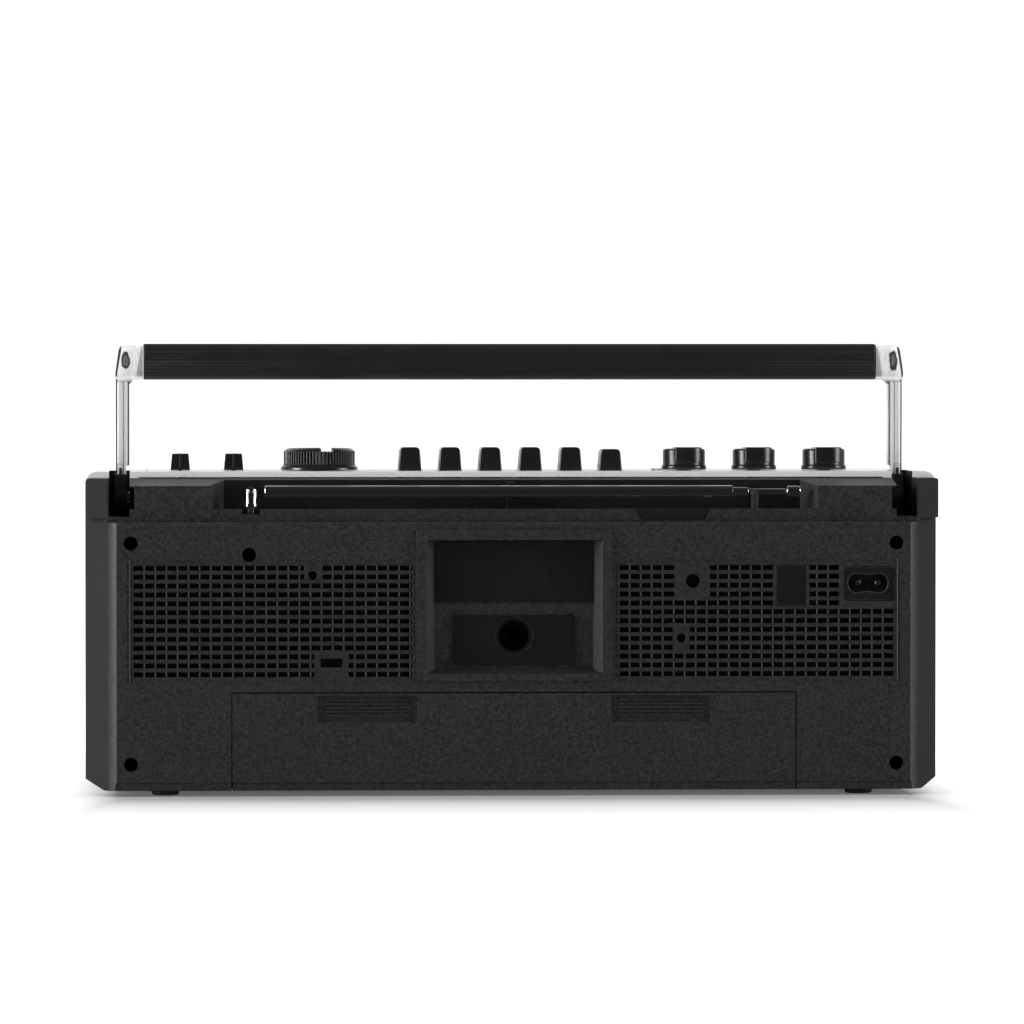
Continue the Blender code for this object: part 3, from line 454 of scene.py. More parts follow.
# rounded edges of the CAD nodes, in millimetres
EDGE_WIDTH = {
    "rear_cover": 0.35,
    "battery_door": 0.15,
    "front_cabinet": 0.5,
    "handle_arm_left": 0.8,
    "handle_arm_right": 0.8,
    "label_upper": 0.1,
    "label_lower": 0.1,
    "antenna_tip": 0.4,
}
KEY_EDGE = 0.8
OTHER_EDGE = 0.2
SHARP_ANGLE = radians(35)
WELD_DISTANCE = 0.000002


def soft_edges(piece, width):
    """Narrow rounded edges, with the flat faces between them still shaded flat."""
    bevel = piece.modifiers.new("Edges", "BEVEL")
    bevel.width = width * MM
    bevel.segments = 2
    bevel.limit_method = "ANGLE"
    bevel.angle_limit = SHARP_ANGLE
    level = piece.modifiers.new("Level", "WEIGHTED_NORMAL")
    level.weight = 100
    level.keep_sharp = False


def dress_cad_nodes():
    """Every CAD node gets its slot's material, one skin and narrow rounded edges."""
    slots = {part["node"]: part["material_slot"] for part in RECORD["subparts"]}
    for name, node in NODES.items():
        finish_with(node, slots[name])
        weld = node.modifiers.new("Weld", "WELD")
        weld.merge_threshold = WELD_DISTANCE
        if name != "battery_door":
            flat = node.modifiers.new("Flat", "DECIMATE")
            flat.decimate_type = "DISSOLVE"
            flat.angle_limit = radians(0.5)
        node.data.shade_smooth()
        width = KEY_EDGE if name.endswith("_key") else EDGE_WIDTH.get(name, OTHER_EDGE)
        soft_edges(node, width)


# two corners of each hollow with painted shade, in millimetres. The first length is the distance from the
# recorder's middle, so -1 takes in the middle itself.
SLOT_SPACE = ((163, 0.2, 120), (178, 51.5, 141.15))
TROUGH_SPACE = ((-1, 34.5, 122), (133, 50.8, 138.3))
SLOT_FLOOR_TOP = 130
SLOT_FRONT = 45
SCREW_REACH, ROUND_REACH = 4.4, 8.2
WELL_DEEP, WELL_SHALLOW = 31, 54
WELL_FLOOR_TOP = 49.5
BLOCK_SIDE, BLOCK_FOOT = 176.7, 119.2


def paint_faces(name, material, chosen):
    """Gives a material to the faces of a CAD node whose centre and normal are chosen. Lengths are in mm."""
    node = NODES[name]
    index = len(node.data.materials)
    node.data.materials.append(MATERIALS[material])
    for face in node.data.polygons:
        if chosen(face.center / MM, face.normal):
            face.material_index = index


def within(place, space):
    """Whether a place lies inside one of the spaces above, on either side of the recorder."""
    low, high = space
    return all(a < b < c for a, b, c in zip(low, (abs(place.x), place.y, place.z), high))


def slot_wall(place, normal):
    """A wall, the far end or the floor of one of the handle's slots."""
    faces_in = (normal.y < 0.7 or place.y < SLOT_FRONT) and (normal.z < 0.7 or place.z < SLOT_FLOOR_TOP)
    return faces_in and within(place, SLOT_SPACE)


def well_wall(place, normal):
    """The wall or the floor of a screw well or of the round well."""
    above_floor = normal.y > 0.9 and place.y > WELL_FLOOR_TOP
    if above_floor or place.y > WELL_SHALLOW or place.y < WELL_DEEP:
        return False
    wells = [(*hole, SCREW_REACH) for hole in SCREW_PLACES] + [(*ROUND_WELL, ROUND_REACH)]
    return any(hypot(place.x - x, place.z - z) < reach for x, z, reach in wells)


def cover_hollow(place, normal):
    """A wall of any hollow in the rear cover."""
    return slot_wall(place, normal) or well_wall(place, normal)


def trough_face(place, normal):
    """The back wall of the antenna's trough, which gets painted shade."""
    return normal.y > 0.7 and within(place, TROUGH_SPACE)


def corner_face(place, normal):
    """The rear of the raised corner blocks outside the handle's slots."""
    return abs(place.x) > BLOCK_SIDE and place.z > BLOCK_FOOT and normal.y > 0.3


def darken_hollows():
    """Painted shade: the insides of the slots, the wells and the trough get a smoother, blacker plastic, and
    the corner blocks a duller, darker one.
    """
    paint_faces("front_cabinet", "slot_black", slot_wall)
    paint_faces("rear_cover", "slot_black", cover_hollow)
    paint_faces("rear_cover", "trough_black", trough_face)
    paint_faces("rear_cover", "corner_black", corner_face)


def lighten_edges():
    """The rounded edges of the black mouldings are smoother and greyer than their grained faces: a little
    wear, and a painted highlight along each edge.
    """
    for name in ("rear_cover", "blanking_plate", "mains_inlet"):
        node = NODES[name]
        node.data.materials.append(MATERIALS["black_edge"])
        node.modifiers["Edges"].material = len(node.data.materials) - 1


def brighten_arms():
    """The handle's arms are satin castings with painted reflections, unlike the plated antenna."""
    for word in ("left", "right"):
        arm = NODES[f"handle_arm_{word}"]
        arm.data.materials.clear()
        arm.data.materials.append(MATERIALS["satin_chrome"])


# --------------------------------------------------------------- stage, camera

VIEW_WIDTH = 446.0 * MM
VIEW_DISTANCE = 3.0
VIEW_TURN = radians(2.8)
VIEW_RISE = radians(1.25)
AIM = Vector((1.14, 55, 123.85)) * MM
SENSOR = 36.0


def camera():
    """The photograph's view: from behind, a little to one side and a little above."""
    lens = bpy.data.cameras.new("camera")
    lens.sensor_width = SENSOR
    lens.lens = SENSOR * VIEW_DISTANCE / VIEW_WIDTH
    lens.clip_start = 0.1
    lens.clip_end = 50
    eye = bpy.data.objects.new("camera", lens)
    bpy.context.scene.collection.objects.link(eye)
    level = Vector((sin(VIEW_TURN), cos(VIEW_TURN), 0))
    eye.location = AIM + VIEW_DISTANCE * (level * cos(VIEW_RISE) + Vector((0, 0, sin(VIEW_RISE))))
    eye.rotation_euler = (AIM - eye.location).to_track_quat("-Z", "Y").to_euler()
    bpy.context.scene.camera = eye


# greys by direction, from straight ahead of the camera at 0 to behind it at 1
BACKDROP_MIRRORED = [(0.0, 1.0), (0.10, 0.7), (0.22, 0.06), (0.42, 0.03), (1.0, 0.012)]
BACKDROP_DEPTH = [(0.0, 0.5), (0.42, 0.85), (0.56, 0.10), (1.0, 0.012)]
# the floor's glow by the distance from its middle in metres, along Y and along X; it is low near the
# recorder, a painted shadow
FLOOR_BEHIND = [
    (0.0, 0.08),
    (0.05, 0.13),
    (0.062, 0.08),
    (0.069, 0.02),
    (0.083, 0.11),
    (0.097, 0.24),
    (0.11, 0.33),
    (0.138, 0.45),
    (0.166, 0.54),
    (0.193, 0.60),
    (0.221, 0.65),
    (0.25, 0.70),
    (0.32, 1.0),
]
FLOOR_BESIDE = [(0.170, 0.0), (0.183, 0.45), (0.195, 0.7), (0.22, 1.0)]


def world():
    """A white studio for the camera.

    What lights the recorder is pale ahead of the camera and dark behind it. What its bright parts mirror
    is white straight ahead of the camera and nearly black all round, apart from the side lamps.
    """
    studio = bpy.data.worlds.new("studio")
    bpy.context.scene.world = studio
    studio.use_nodes = True
    graph = Tree(studio.node_tree)
    toward = graph.math("ADD", graph.math("MULTIPLY", graph.split("Generated")["Y"], 0.5), 0.5)
    path = graph.node("ShaderNodeLightPath")
    matt = graph.math("SUBTRACT", 1.0, path.outputs["Is Glossy Ray"])
    soft = graph.math("MULTIPLY", graph.ramp(toward, BACKDROP_DEPTH), matt)
    mirrored = graph.math("MULTIPLY", graph.ramp(toward, BACKDROP_MIRRORED), path.outputs["Is Glossy Ray"])
    shown = graph.math("MAXIMUM", graph.math("ADD", soft, mirrored), path.outputs["Is Camera Ray"])
    back = studio.node_tree.nodes["Background"]
    graph.link(shown, back.inputs["Color"])
    back.inputs["Strength"].default_value = 1.1


def floor():
    """A large floor, white to the camera and dim to what mirrors it.

    Its shading round the recorder is set by place: a painted soft shadow, like that of a white studio.
    """
    bpy.ops.mesh.primitive_plane_add(size=30, location=(0, 0, 0))
    sheet = bpy.context.object
    sheet.name = "floor"
    graph = Graph("floor_paint")
    path = graph.node("ShaderNodeLightPath")
    seen = path.outputs["Is Camera Ray"]
    tone = graph.ramp(graph.noise(3, 2.0), [(0.3, 0.35), (0.7, 0.36)])
    dim = graph.mix(path.outputs["Is Glossy Ray"], (0.9, 0.9, 0.9), (0.012, 0.012, 0.012))
    place = graph.split("Object")
    behind = graph.ramp(graph.math("ABSOLUTE", place["Y"]), FLOOR_BEHIND)
    beside = graph.ramp(graph.math("ABSOLUTE", place["X"]), FLOOR_BESIDE)
    glow = graph.math("MAXIMUM", behind, beside)
    graph.set(
        Base_Color=graph.mix(seen, dim, tone),
        Roughness=0.9,
        Specular_IOR_Level=0.1,
        Emission_Color=(1, 1, 1),
        Emission_Strength=graph.math("MULTIPLY", seen, glow),
    )
    sheet.data.materials.append(graph.material)


def area_light(name, place, aim, size, power):
    """A rectangular lamp at a place, turned towards what it lights."""
    lamp = bpy.data.lights.new(name, "AREA")
    lamp.shape = "RECTANGLE"
    lamp.size, lamp.size_y = size
    lamp.energy = power
    holder = bpy.data.objects.new(name, lamp)
    bpy.context.scene.collection.objects.link(holder)
    holder.location = place
    holder.rotation_euler = (Vector(aim) - Vector(place)).to_track_quat("-Z", "Y").to_euler()
    return holder


def lights():
    """Soft light from above, from both sides and from low behind the camera."""
    middle = (0, 0, 0.1)
    area_light("top", (0, 0.15, 1.9), middle, (1.8, 0.8), 20).visible_glossy = False
    area_light("left", (1.75, 0.45, 0.5), middle, (0.7, 1.2), 34)
    area_light("right", (-1.75, 0.45, 0.5), middle, (0.7, 1.2), 20)
    area_light("fill", (0, 2.6, 0.25), middle, (2.5, 0.5), 14).visible_glossy = False


# ----------------------------------------------------------------- small parts


def mesh_piece(name, shape, material, body, edges=0.0):
    """A piece from a bmesh, with its material and rounded edges, riding on a body."""
    mesh = bpy.data.meshes.new(name)
    bmesh.ops.recalc_face_normals(shape, faces=shape.faces)
    shape.to_mesh(mesh)
    shape.free()
    mesh.shade_smooth()
    piece = bpy.data.objects.new(name, mesh)
    bpy.context.scene.collection.objects.link(piece)
    if edges:
        soft_edges(piece, edges)
    else:
        mesh.set_sharp_from_angle(angle=SHARP_ANGLE)
    finish_with(piece, material)
    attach(piece, body)
    return piece


def add_box(shape, low, high):
    """A box between two corners, in millimetres."""
    low, high = Vector(low) * MM, Vector(high) * MM
    place = Matrix.Translation((low + high) / 2) @ Matrix.Diagonal((*(high - low), 1))
    bmesh.ops.create_cube(shape, size=1, matrix=place)


PLANES = {
    # how an outline's two axes and its depth lie in the frame
    "XY": lambda a, b, depth: (a, b, depth),
    "XZ": lambda a, b, depth: (a, depth, b),
    "YZ": lambda a, b, depth: (depth, a, b),
}


def join_rings(shape, first, second):
    """Faces between two rings with the same number of points."""
    count = len(first)
    for i in range(count):
        j = (i + 1) % count
        shape.faces.new((first[i], first[j], second[j], second[i]))


def add_prism(shape, outline, plane, start, end):
    """A closed outline given depth from start to end, in millimetres."""
    lay = PLANES[plane]
    first = [shape.verts.new(Vector(lay(a, b, start)) * MM) for a, b in outline]
    second = [shape.verts.new(Vector(lay(a, b, end)) * MM) for a, b in outline]
    join_rings(shape, first, second)
    shape.faces.new(first[::-1])
    shape.faces.new(second)


def add_ring(shape, outer, inner, plane, start, end):
    """A closed band between two outlines with the same number of points."""
    lay = PLANES[plane]
    rings = []
    for outline, depth in ((outer, start), (outer, end), (inner, end), (inner, start)):
        rings.append([shape.verts.new(Vector(lay(a, b, depth)) * MM) for a, b in outline])
    for first, second in zip(rings, rings[1:] + rings[:1]):
        join_rings(shape, first, second)


def add_turned(shape, profile, place, turn=None, sides=48, wave=None):
    """Turns (radius, height) points round an axis. wave(angle, radius, height) may change both of them."""
    turn = turn or Matrix.Identity(3)
    place = Vector(place)

    def at(radius, angle, height):
        if wave:
            radius, height = wave(angle, radius, height)
        spot = Vector((radius * cos(angle), radius * sin(angle), height))
        return shape.verts.new((turn @ spot + place) * MM)

    rings = []
    for radius, height in profile:
        steps = 1 if radius == 0 else sides
        rings.append([at(radius, 2 * pi * i / sides, height) for i in range(steps)])
    for first, second in zip(rings, rings[1:]):
        for i in range(sides):
            j = (i + 1) % sides
            around = ((first, i), (first, j), (second, j), (second, i))
            corners = [ring[k % len(ring)] for ring, k in around]
            shape.faces.new(list(dict.fromkeys(corners)))


def circle(centre, radius, steps=48, start=0.0, end=2 * pi):
    """Points round a circle or an arc. An arc has a point at both of its ends."""
    whole = abs(end - start - 2 * pi) < 1e-6
    angles = [start + (end - start) * i / steps for i in range(steps if whole else steps + 1)]
    return [(centre[0] + radius * cos(angle), centre[1] + radius * sin(angle)) for angle in angles]


def rounded(low, high, radius, steps=6):
    """A rectangle with round corners."""
    points = []
    corners = [(high[0] - radius, high[1] - radius), (low[0] + radius, high[1] - radius)]
    corners += [(low[0] + radius, low[1] + radius), (high[0] - radius, low[1] + radius)]
    for quarter, corner in enumerate(corners):
        points += circle(corner, radius, steps, quarter * pi / 2, (quarter + 1) * pi / 2)
    return points


CUT_SHARP_ANGLE = radians(40)


def subtract(piece, shape):
    """Cuts a bmesh out of a piece's mesh, and shades what is left."""
    mesh = bpy.data.meshes.new("cutter")
    bmesh.ops.recalc_face_normals(shape, faces=shape.faces)
    shape.to_mesh(mesh)
    shape.free()
    cutter = bpy.data.objects.new("cutter", mesh)
    bpy.context.scene.collection.objects.link(cutter)
    modifiers = list(piece.modifiers)
    shown = [modifier.show_viewport for modifier in modifiers]
    for modifier in modifiers:
        modifier.show_viewport = False
    knife = piece.modifiers.new("Knife", "BOOLEAN")
    knife.operation = "DIFFERENCE"
    knife.solver = "EXACT"
    knife.object = cutter
    graph = bpy.context.evaluated_depsgraph_get()
    piece.data = bpy.data.meshes.new_from_object(piece.evaluated_get(graph))
    piece.modifiers.remove(knife)
    for modifier, was in zip(modifiers, shown):
        modifier.show_viewport = was
    bpy.data.objects.remove(cutter, do_unlink=True)
    piece.data.shade_smooth()
    piece.data.set_sharp_from_angle(angle=CUT_SHARP_ANGLE)


TO_REAR = Matrix(((1, 0, 0), (0, 0, 1), (0, -1, 0)))
TO_FRONT = Matrix(((1, 0, 0), (0, 0, -1), (0, 1, 0)))
TO_SIDE = Matrix(((0, 0, 1), (0, 1, 0), (-1, 0, 0)))
SIDES = ((1, "left"), (-1, "right"))
REAR = 55.0
COVER_INSIDE = 52.5
FIELD_LOW, FIELD_HIGH = 49.7, 103.0
BAR_START, BAR_PITCH, BAR_WIDTH, BAR_COUNT = 45.5, 4.82, 0.6, 25
BAR_SPAN = (51.0, 101.5)
BAR_STOPS = [
    # where something stands in the vents: its reach along X, and the heights left to the bars
    (-169, -141.5, BAR_SPAN[0], 81.9),
    (-129.5, -112.5, BAR_SPAN[0], 81.9),
    (-86, -69, BAR_SPAN[0], 85.6),
    (71.7, 87.8, 62.4, BAR_SPAN[1]),
]
PEG_REACH, PEG_CLEAR = 3.8, 3.7


def bar_spans(x):
    """The heights between which the bar at x runs."""
    low, high = BAR_SPAN
    for start, end, stop_low, stop_high in BAR_STOPS:
        if start < x < end:
            low, high = stop_low, stop_high
    for peg_x, peg_z in PEG_PLACES:
        if abs(x - peg_x) < PEG_REACH:
            return [(low, peg_z - PEG_CLEAR), (peg_z + PEG_CLEAR, high)]
    return [(low, high)]


def vent_bars():
    """The upright bars moulded behind the vent ribs. They stop where something stands in the vents."""
    half = BAR_WIDTH / 2
    for side, word in SIDES:
        shape = bmesh.new()
        for i in range(BAR_COUNT):
            x = side * (BAR_START + i * BAR_PITCH)
            for low, high in bar_spans(x):
                add_box(shape, (x - half, COVER_INSIDE + 0.1, low), (x + half, REAR - 1.1, high))
        # the bars are in the greyer black, a painted highlight
        mesh_piece(f"vent_bars_{word}", shape, "black_edge", SHELL)


# where the black sheets of painted shade lie, in millimetres
SHEET_FRONT, SHEET_BACK, SHEET_RIDGE = 51.5, 51.9, 0.12
SHEET_START, SHEET_JOIN, SHEET_END = 45.5, 138.0, 168.0
SHEET_TOP = FIELD_HIGH - 1
SHEET_TOP_BY_INLET = 82.5


def cloth_sheet(name, start, end, ridges, top):
    """A black sheet of painted shade between two places along X, with fine ridges."""
    low, high = sorted((start, end))
    width = high - low
    outline = [(low + width * i / ridges, SHEET_BACK + SHEET_RIDGE * (i % 2)) for i in range(ridges + 1)]
    outline += [(high, SHEET_FRONT), (low, SHEET_FRONT)]
    shape = bmesh.new()
    add_prism(shape, outline, "XY", FIELD_LOW + 1, top)
    mesh_piece(name, shape, "dust_cloth", SHELL)


def vent_cloth():
    """A black sheet of painted shade behind each field of vents. On the right it stays below the mains
    inlet.
    """
    for side, word in SIDES:
        join = side * SHEET_JOIN
        outer_top = SHEET_TOP if side > 0 else SHEET_TOP_BY_INLET
        cloth_sheet(f"vent_cloth_{word}", side * SHEET_START, join, 120, SHEET_TOP)
        cloth_sheet(f"vent_cloth_outer_{word}", join, side * SHEET_END, 40, outer_top)


def field_edges():
    """A fine raised line down each side of each field of vents."""
    for side, word in SIDES:
        shape = bmesh.new()
        for x in (41.7, 167.5):
            add_box(shape, (side * x - 0.2, REAR - 0.5, 50.2), (side * x + 0.2, REAR + 0.12, 103.2))
        # the lines are in the greyer black, a painted highlight
        mesh_piece(f"field_edges_{word}", shape, "black_edge", SHELL, 0.08)


def peg_rings():
    """A low ring round each of the two small holes in the vents."""
    for i, (x, z) in enumerate(PEG_PLACES):
        shape = bmesh.new()
        add_ring(shape, circle((x, z), 3.5, 32), circle((x, z), 2.05, 32), "XZ", REAR - 0.7, REAR - 0.1)
        mesh_piece(f"peg_ring_{i}", shape, "black_plastic", SHELL, 0.15)


SCREW_SEAT = 36.1


def screws():
    """A cross recess screw at the bottom of each well."""

    def recess(angle, radius, height):
        x, z = radius * cos(angle), radius * sin(angle)
        if radius < 1.7 and min(abs(x), abs(z)) < 0.42 and height > 1:
            height -= 1.0
        return radius, height

    profile = [(0, 1.9), (0.4, 1.9), (0.8, 1.9), (1.2, 1.85), (1.6, 1.8), (1.9, 1.7), (2.4, 1.3), (2.7, 0.7)]
    profile += [(2.75, 0.1), (1.4, 0.05), (1.4, -4), (0, -4)]
    for i, (x, z) in enumerate(SCREW_PLACES + [ROUND_WELL]):
        shape = bmesh.new()
        add_turned(shape, profile, (x, SCREW_SEAT, z), TO_REAR, 48, recess)
        mesh_piece(f"screw_{i}", shape, "black_zinc", SHELL)


LABEL_SURFACE = 49.9
LABEL_BARS = [(24.0, 89.3), (11.0, 95.2), (13.0, 98.3), (12.0, 106.3)]


def add_border(shape, half, low, high, width, outer_radius, inner_radius):
    """A thin raised frame on a label's face, by its half width, its two heights and its line width."""
    outer = rounded((-half, low), (half, high), outer_radius, 3)
    inner = rounded((width - half, low + width), (half - width, high - width), inner_radius, 3)
    add_ring(shape, outer, inner, "XZ", LABEL_SURFACE - 0.05, LABEL_SURFACE + 0.12)


def label_marks():
    """A plain frame on each label, with an inner frame and plain bars on the upper one."""
    shape = bmesh.new()
    add_border(shape, 33.4, 85.2, 110.0, 0.4, 0.8, 0.5)
    add_border(shape, 15.6, 92.3, 101.7, 0.4, 0.6, 0.4)
    for half, height in LABEL_BARS:
        bar = rounded((-half, height - 0.35), (half, height + 0.35), 0.3, 3)
        add_prism(shape, bar, "XZ", LABEL_SURFACE - 0.05, LABEL_SURFACE + 0.1)
    mesh_piece("label_border", shape, "gloss_black", SHELL)
    shape = bmesh.new()
    add_border(shape, 26.4, 57.5, 78.7, 0.3, 0.5, 0.4)
    mesh_piece("label_lower_border", shape, "gloss_black", SHELL)


def handle_grip():
    """The grip, with fine ribs along its length."""
    low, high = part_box("handle_grip")
    half_a, half_b = (high.y - low.y) / 2 / MM, (high.z - low.z) / 2 / MM
    radius, rib, ribs = 4.5, 0.16, 46
    path = rounded((-half_a, -half_b), (half_a, half_b), radius, 8)
    lengths = [hypot(q[0] - p[0], q[1] - p[1]) for p, q in zip(path, path[1:] + path[:1])]
    pitch = sum(lengths) / ribs
    section, travelled = [], 0.0
    for (p, q), length in zip(zip(path, path[1:] + path[:1]), lengths):
        steps = max(1, round(length / (pitch / 6)))
        for i in range(steps):
            share = i / steps
            a, b = p[0] + (q[0] - p[0]) * share, p[1] + (q[1] - p[1]) * share
            sunk = rib * (0.5 - 0.5 * cos(2 * pi * (travelled + length * share) / pitch)) ** 2
            out_a = max(0, abs(a) - half_a + radius) * (1 if a > 0 else -1)
            out_b = max(0, abs(b) - half_b + radius) * (1 if b > 0 else -1)
            reach = hypot(out_a, out_b) or 1
            section.append((a - sunk * out_a / reach, b - sunk * out_b / reach))
        travelled += length
    middle = (low + high) / 2
    shape = bmesh.new()
    rings = []
    tip, narrow = 0.5 * MM, 0.96
    for x, scale in ((low.x, narrow), (low.x + tip, 1.0), (high.x - tip, 1.0), (high.x, narrow)):
        size = scale * MM
        rings.append([shape.verts.new((x, middle.y + a * size, middle.z + b * size)) for a, b in section])
    for first, second in zip(rings, rings[1:]):
        join_rings(shape, first, second)
    shape.faces.new(rings[0][::-1])
    shape.faces.new(rings[-1])
    grip = mesh_piece("ribbed_grip", shape, "grip_plastic", "handle")
    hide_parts("handle_grip")


def arm_details():
    """On each arm, a raised panel down its back and a black shoe round its pivot."""
    pivot_y, pivot_z = 8.0, 129.5
    for side, word in SIDES:
        panel = bmesh.new()
        low, high = sorted((side * 170.2, side * 173.0))
        add_box(panel, (low, pivot_y + 4.2, 144.2), (high, pivot_y + 4.75, 180.0))
        # the panel carries the arms' painted reflections
        mesh_piece(f"arm_panel_{word}", panel, "satin_chrome", "handle", 0.3)
        shoe = bmesh.new()
        radius = 6.5
        outline = circle((pivot_y, pivot_z), radius, 24, pi, 2 * pi) + [
            (pivot_y + radius, pivot_z + 2),
            (pivot_y + 5.0, pivot_z + 6),
            (pivot_y + 4.8, 139.6),
            (pivot_y + 3.5, 140.1),
            (pivot_y - 3.5, 140.1),
            (pivot_y - 4.8, 139.6),
            (pivot_y - 5.0, pivot_z + 6),
            (pivot_y - radius, pivot_z + 2),
        ]
        ends = sorted((side * 168.6, side * 174.4))
        add_prism(shoe, outline, "YZ", *ends)
        low, high = sorted((side * 171.0, side * 172.4))
        add_box(shoe, (low, pivot_y + 2, 139.0), (high, pivot_y + 4.8, 142.6))
        mesh_piece(f"arm_shoe_{word}", shoe, "black_plastic", "handle", 0.4)


TUNING_X, CONTROL_Y = 84.1, 9.0
KNOB_X = {"volume_knob": -77.3, "bass_knob": -108.3, "treble_knob": -139.3}
SWITCH_X = {"function_switch": 145.4, "band_switch": 121.9}
KNOB_LOW = 141.6


def tuning_knob():
    """A wide knob with an upright knurl, a flared foot and a groove across its top."""
    ribs, deep, radius = 68, 0.5, 15.7
    band = (144.1, 149.9)

    def knurl(angle, r, height):
        if band[0] <= height <= band[1] and r > radius - 1:
            r -= deep * (0.5 - 0.5 * cos(ribs * angle)) ** 2
        return r, height

    profile = [
        (0, 150.6),
        (12.0, 150.6),
        (12.4, 151.0),
        (13.2, 151.2),
        (14.0, 151.1),
        (radius - 0.25, 150.0),
        (radius, 149.8),
        (radius, 149.6),
        (radius, 144.3),
        (radius, 144.15),
        (15.95, 143.7),
        (16.8, 142.9),
        (17.0, 142.6),
        (17.0, KNOB_LOW),
        (3.0, KNOB_LOW),
        (3.0, 136.2),
        (0, 136.2),
    ]
    shape = bmesh.new()
    add_turned(shape, profile, (TUNING_X, CONTROL_Y, 0), None, ribs * 6, knurl)
    knob = mesh_piece("knurled_tuning_knob", shape, "gloss_black", "tuning_knob_body")
    groove = bmesh.new()
    middle = TUNING_X - 3.1
    add_box(groove, (middle - 2.6, CONTROL_Y - 20, 149.7), (middle + 2.6, CONTROL_Y + 20, 155))
    subtract(knob, groove)
    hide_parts("tuning_knob")


def clipped_circle(centre, radius, low, high, steps=16):
    """The part of a circle between two heights of its first axis, as an outline."""
    first, second = acos(high / radius), acos(low / radius)
    top = circle(centre, radius, steps, first, second)
    bottom = circle(centre, radius, steps, -second, -first)
    return top + bottom


def small_knobs():
    """Three knobs, each with a foot band, a rounded shoulder and a broad raised pointer."""
    for name, x in KNOB_X.items():
        shape = bmesh.new()
        shoulder = [(8.3 + 1.1 * sin(i * pi / 12), 149.75 + 1.1 * cos(i * pi / 12)) for i in range(7)]
        profile = [(0, 150.85), *shoulder, (9.4, 143.9), (9.5, 143.7), (9.85, 143.4), (9.95, 143.1)]
        profile += [(9.95, 141.9), (9.75, KNOB_LOW), (3.0, KNOB_LOW), (3.0, 131), (0, 131)]
        add_turned(shape, profile, (x, CONTROL_Y, 0), None, 72)
        knob = mesh_piece(f"turned_{name}", shape, "gloss_black", f"{name}_body")
        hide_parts(name)
        pointer = bmesh.new()
        add_prism(pointer, clipped_circle((x, CONTROL_Y), 9.62, -7.4, 4.55), "XY", 144.4, 151.5)
        mesh_piece(f"pointer_of_{name}", pointer, "gloss_black", f"{name}_body", 0.45)


def switch_ridges():
    """A ridge for the fingertip down the back of each switch cap."""
    for name, x in SWITCH_X.items():
        shape = bmesh.new()
        add_box(shape, (x - 0.35, CONTROL_Y - 4.7, 142.6), (x + 0.35, CONTROL_Y + 4.7, 148.9))
        mesh_piece(f"ridge_of_{name}", shape, "gloss_black", f"{name}_body", 0.15)


def antenna_clip():
    """The lip of the clip that holds the folded antenna."""
    shape = bmesh.new()
    outline = [(49.3, 124.5), (50.7, 124.5), (50.7, 132.4), (50.2, 132.9)]
    outline += [(49.6, 132.9), (48.6, 131.0), (49.3, 130.6)]
    add_prism(shape, outline, "YZ", -106.8, -104.0)
    mesh_piece("antenna_clip_lip", shape, "black_plastic", SHELL, 0.2)


def antenna_knuckle():
    """The antenna's swivel: a slender barrel with a slotted dome, on a collar and a narrow foot."""
    x, y, z = 114.7, 46.5, 132.5
    shape = bmesh.new()
    dome = [(2.65 * sin(i * pi / 16), z + 0.1 + 2.8 * cos(i * pi / 16)) for i in range(9)]
    profile = dome + [(2.65, 127.4), (2.85, 127.1), (2.9, 126.9), (2.9, 126.2), (2.8, 125.9), (2.0, 125.6)]
    profile += [(1.95, 125.3), (1.95, 123.1), (0, 123.1)]
    add_turned(shape, profile, (x, y, 0), None, 48)
    barrel = mesh_piece("antenna_knuckle", shape, "chrome", "antenna_swivel")
    slot = bmesh.new()
    add_box(slot, (x - 5, y - 1.5, z - 2.9), (x + 5, y + 1.5, z + 6))
    subtract(barrel, slot)
    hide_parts("antenna_base")
    for side, word in ((1, "rear"), (-1, "front")):
        head = bmesh.new()
        profile = [(0, 0.45), (0.5, 0.42), (0.8, 0.3), (0.95, 0.05), (0.95, -0.4), (0, -0.4)]
        turn = TO_REAR if side > 0 else TO_FRONT
        add_turned(head, profile, (x, y + side * 2.55, z), turn, 20)
        mesh_piece(f"antenna_rivet_{word}", head, "chrome", "antenna_swivel")


SPEAKER_X, SPEAKER_Z = 122.0, 68
TRIM_OUTER, TRIM_INNER = 55.5, 53.3


def speaker_trims():
    """A bright ring round each speaker grille."""
    for side, word in SIDES:
        middle = (side * SPEAKER_X, SPEAKER_Z)
        shape = bmesh.new()
        add_ring(shape, circle(middle, TRIM_OUTER, 96), circle(middle, TRIM_INNER, 96), "XZ", -55.6, -53.9)
        mesh_piece(f"speaker_trim_{word}", shape, "chrome", SHELL, 0.4)


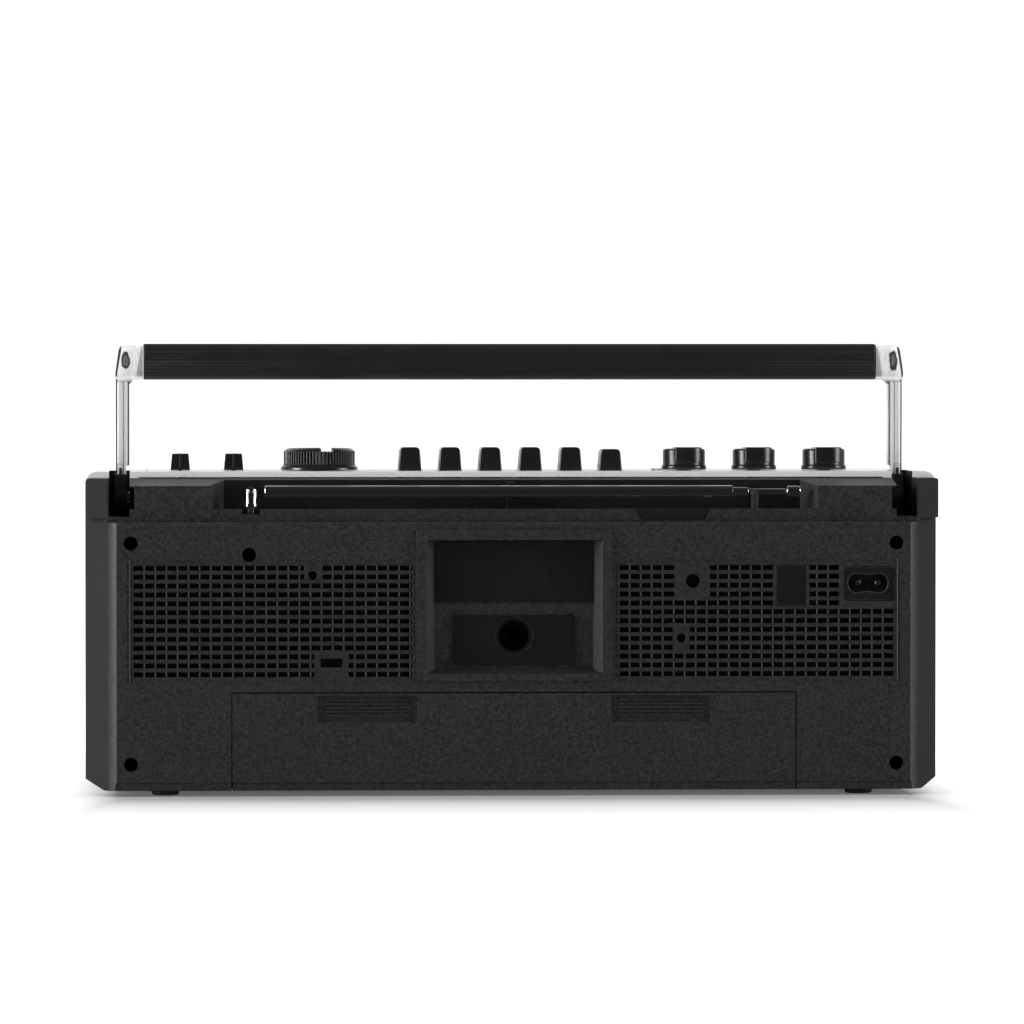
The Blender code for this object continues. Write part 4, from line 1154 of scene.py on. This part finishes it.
def contact_plate():
    """The flat battery contact opposite the spring."""
    shape = bmesh.new()
    add_prism(shape, rounded((20, 16), (38, 36), 2), "YZ", 126.9, 127.5)
    add_turned(shape, [(0, -0.6), (2.6, -0.5), (3.2, 0), (3.2, 0.3), (0, 0.3)], (126.7, 29, 26), TO_SIDE, 24)
    mesh_piece("battery_contact", shape, "steel", SHELL)


def numeral(name, digits, place):
    """Digits that face the front, as a mesh."""
    curve = bpy.data.curves.new(name, "FONT")
    curve.body = digits
    curve.size = 3.4 * MM
    curve.extrude = 0.06 * MM
    curve.resolution_u = 3
    curve.align_x = "CENTER"
    drawn = bpy.data.objects.new(name + "_text", curve)
    bpy.context.scene.collection.objects.link(drawn)
    bpy.context.view_layer.update()
    mesh = bpy.data.meshes.new_from_object(drawn.evaluated_get(bpy.context.evaluated_depsgraph_get()))
    bpy.data.objects.remove(drawn, do_unlink=True)
    shape = bmesh.new()
    shape.from_mesh(mesh)
    bmesh.ops.remove_doubles(shape, verts=shape.verts, dist=1e-7)
    for vert in shape.verts:
        vert.co = TO_FRONT @ vert.co + Vector(place) * MM
    mesh_piece(name, shape, "label_black", SHELL)


def dial_marks():
    """Ticks and plain numbers on the dial, for two wave bands."""
    face, half = -47.5, 46
    shape = bmesh.new()
    for i in range(41):
        x = -half + 2 * half * i / 40
        tall = 2.6 if i % 5 == 0 else 1.5
        for base in (111.0, 119.5):
            add_box(shape, (x - 0.12, face - 0.12, base), (x + 0.12, face + 0.05, base + tall))
    for base in (110.8, 119.3):
        add_box(shape, (-47, face - 0.12, base), (47, face + 0.05, base + 0.25))
    mesh_piece("dial_ticks", shape, "label_black", SHELL)
    rows = (([88, 92, 96, 100, 104, 108], 122.8), ([53, 70, 90, 110, 130, 160], 114.3))
    for row, (numbers, height) in enumerate(rows):
        for i, number in enumerate(numbers):
            numeral(f"dial_number_{row}_{i}", str(number), (half - 2 * half * i / 5, face, height))


bpy.context.scene.view_settings.view_transform = "Standard"
dress_cad_nodes()
darken_hollows()
lighten_edges()
brighten_arms()
camera()
world()
floor()
lights()
vent_bars()
vent_cloth()
field_edges()
peg_rings()
screws()
label_marks()
handle_grip()
arm_details()
tuning_knob()
small_knobs()
switch_ridges()
antenna_clip()
antenna_knuckle()
speaker_trims()
contact_plate()
dial_marks()
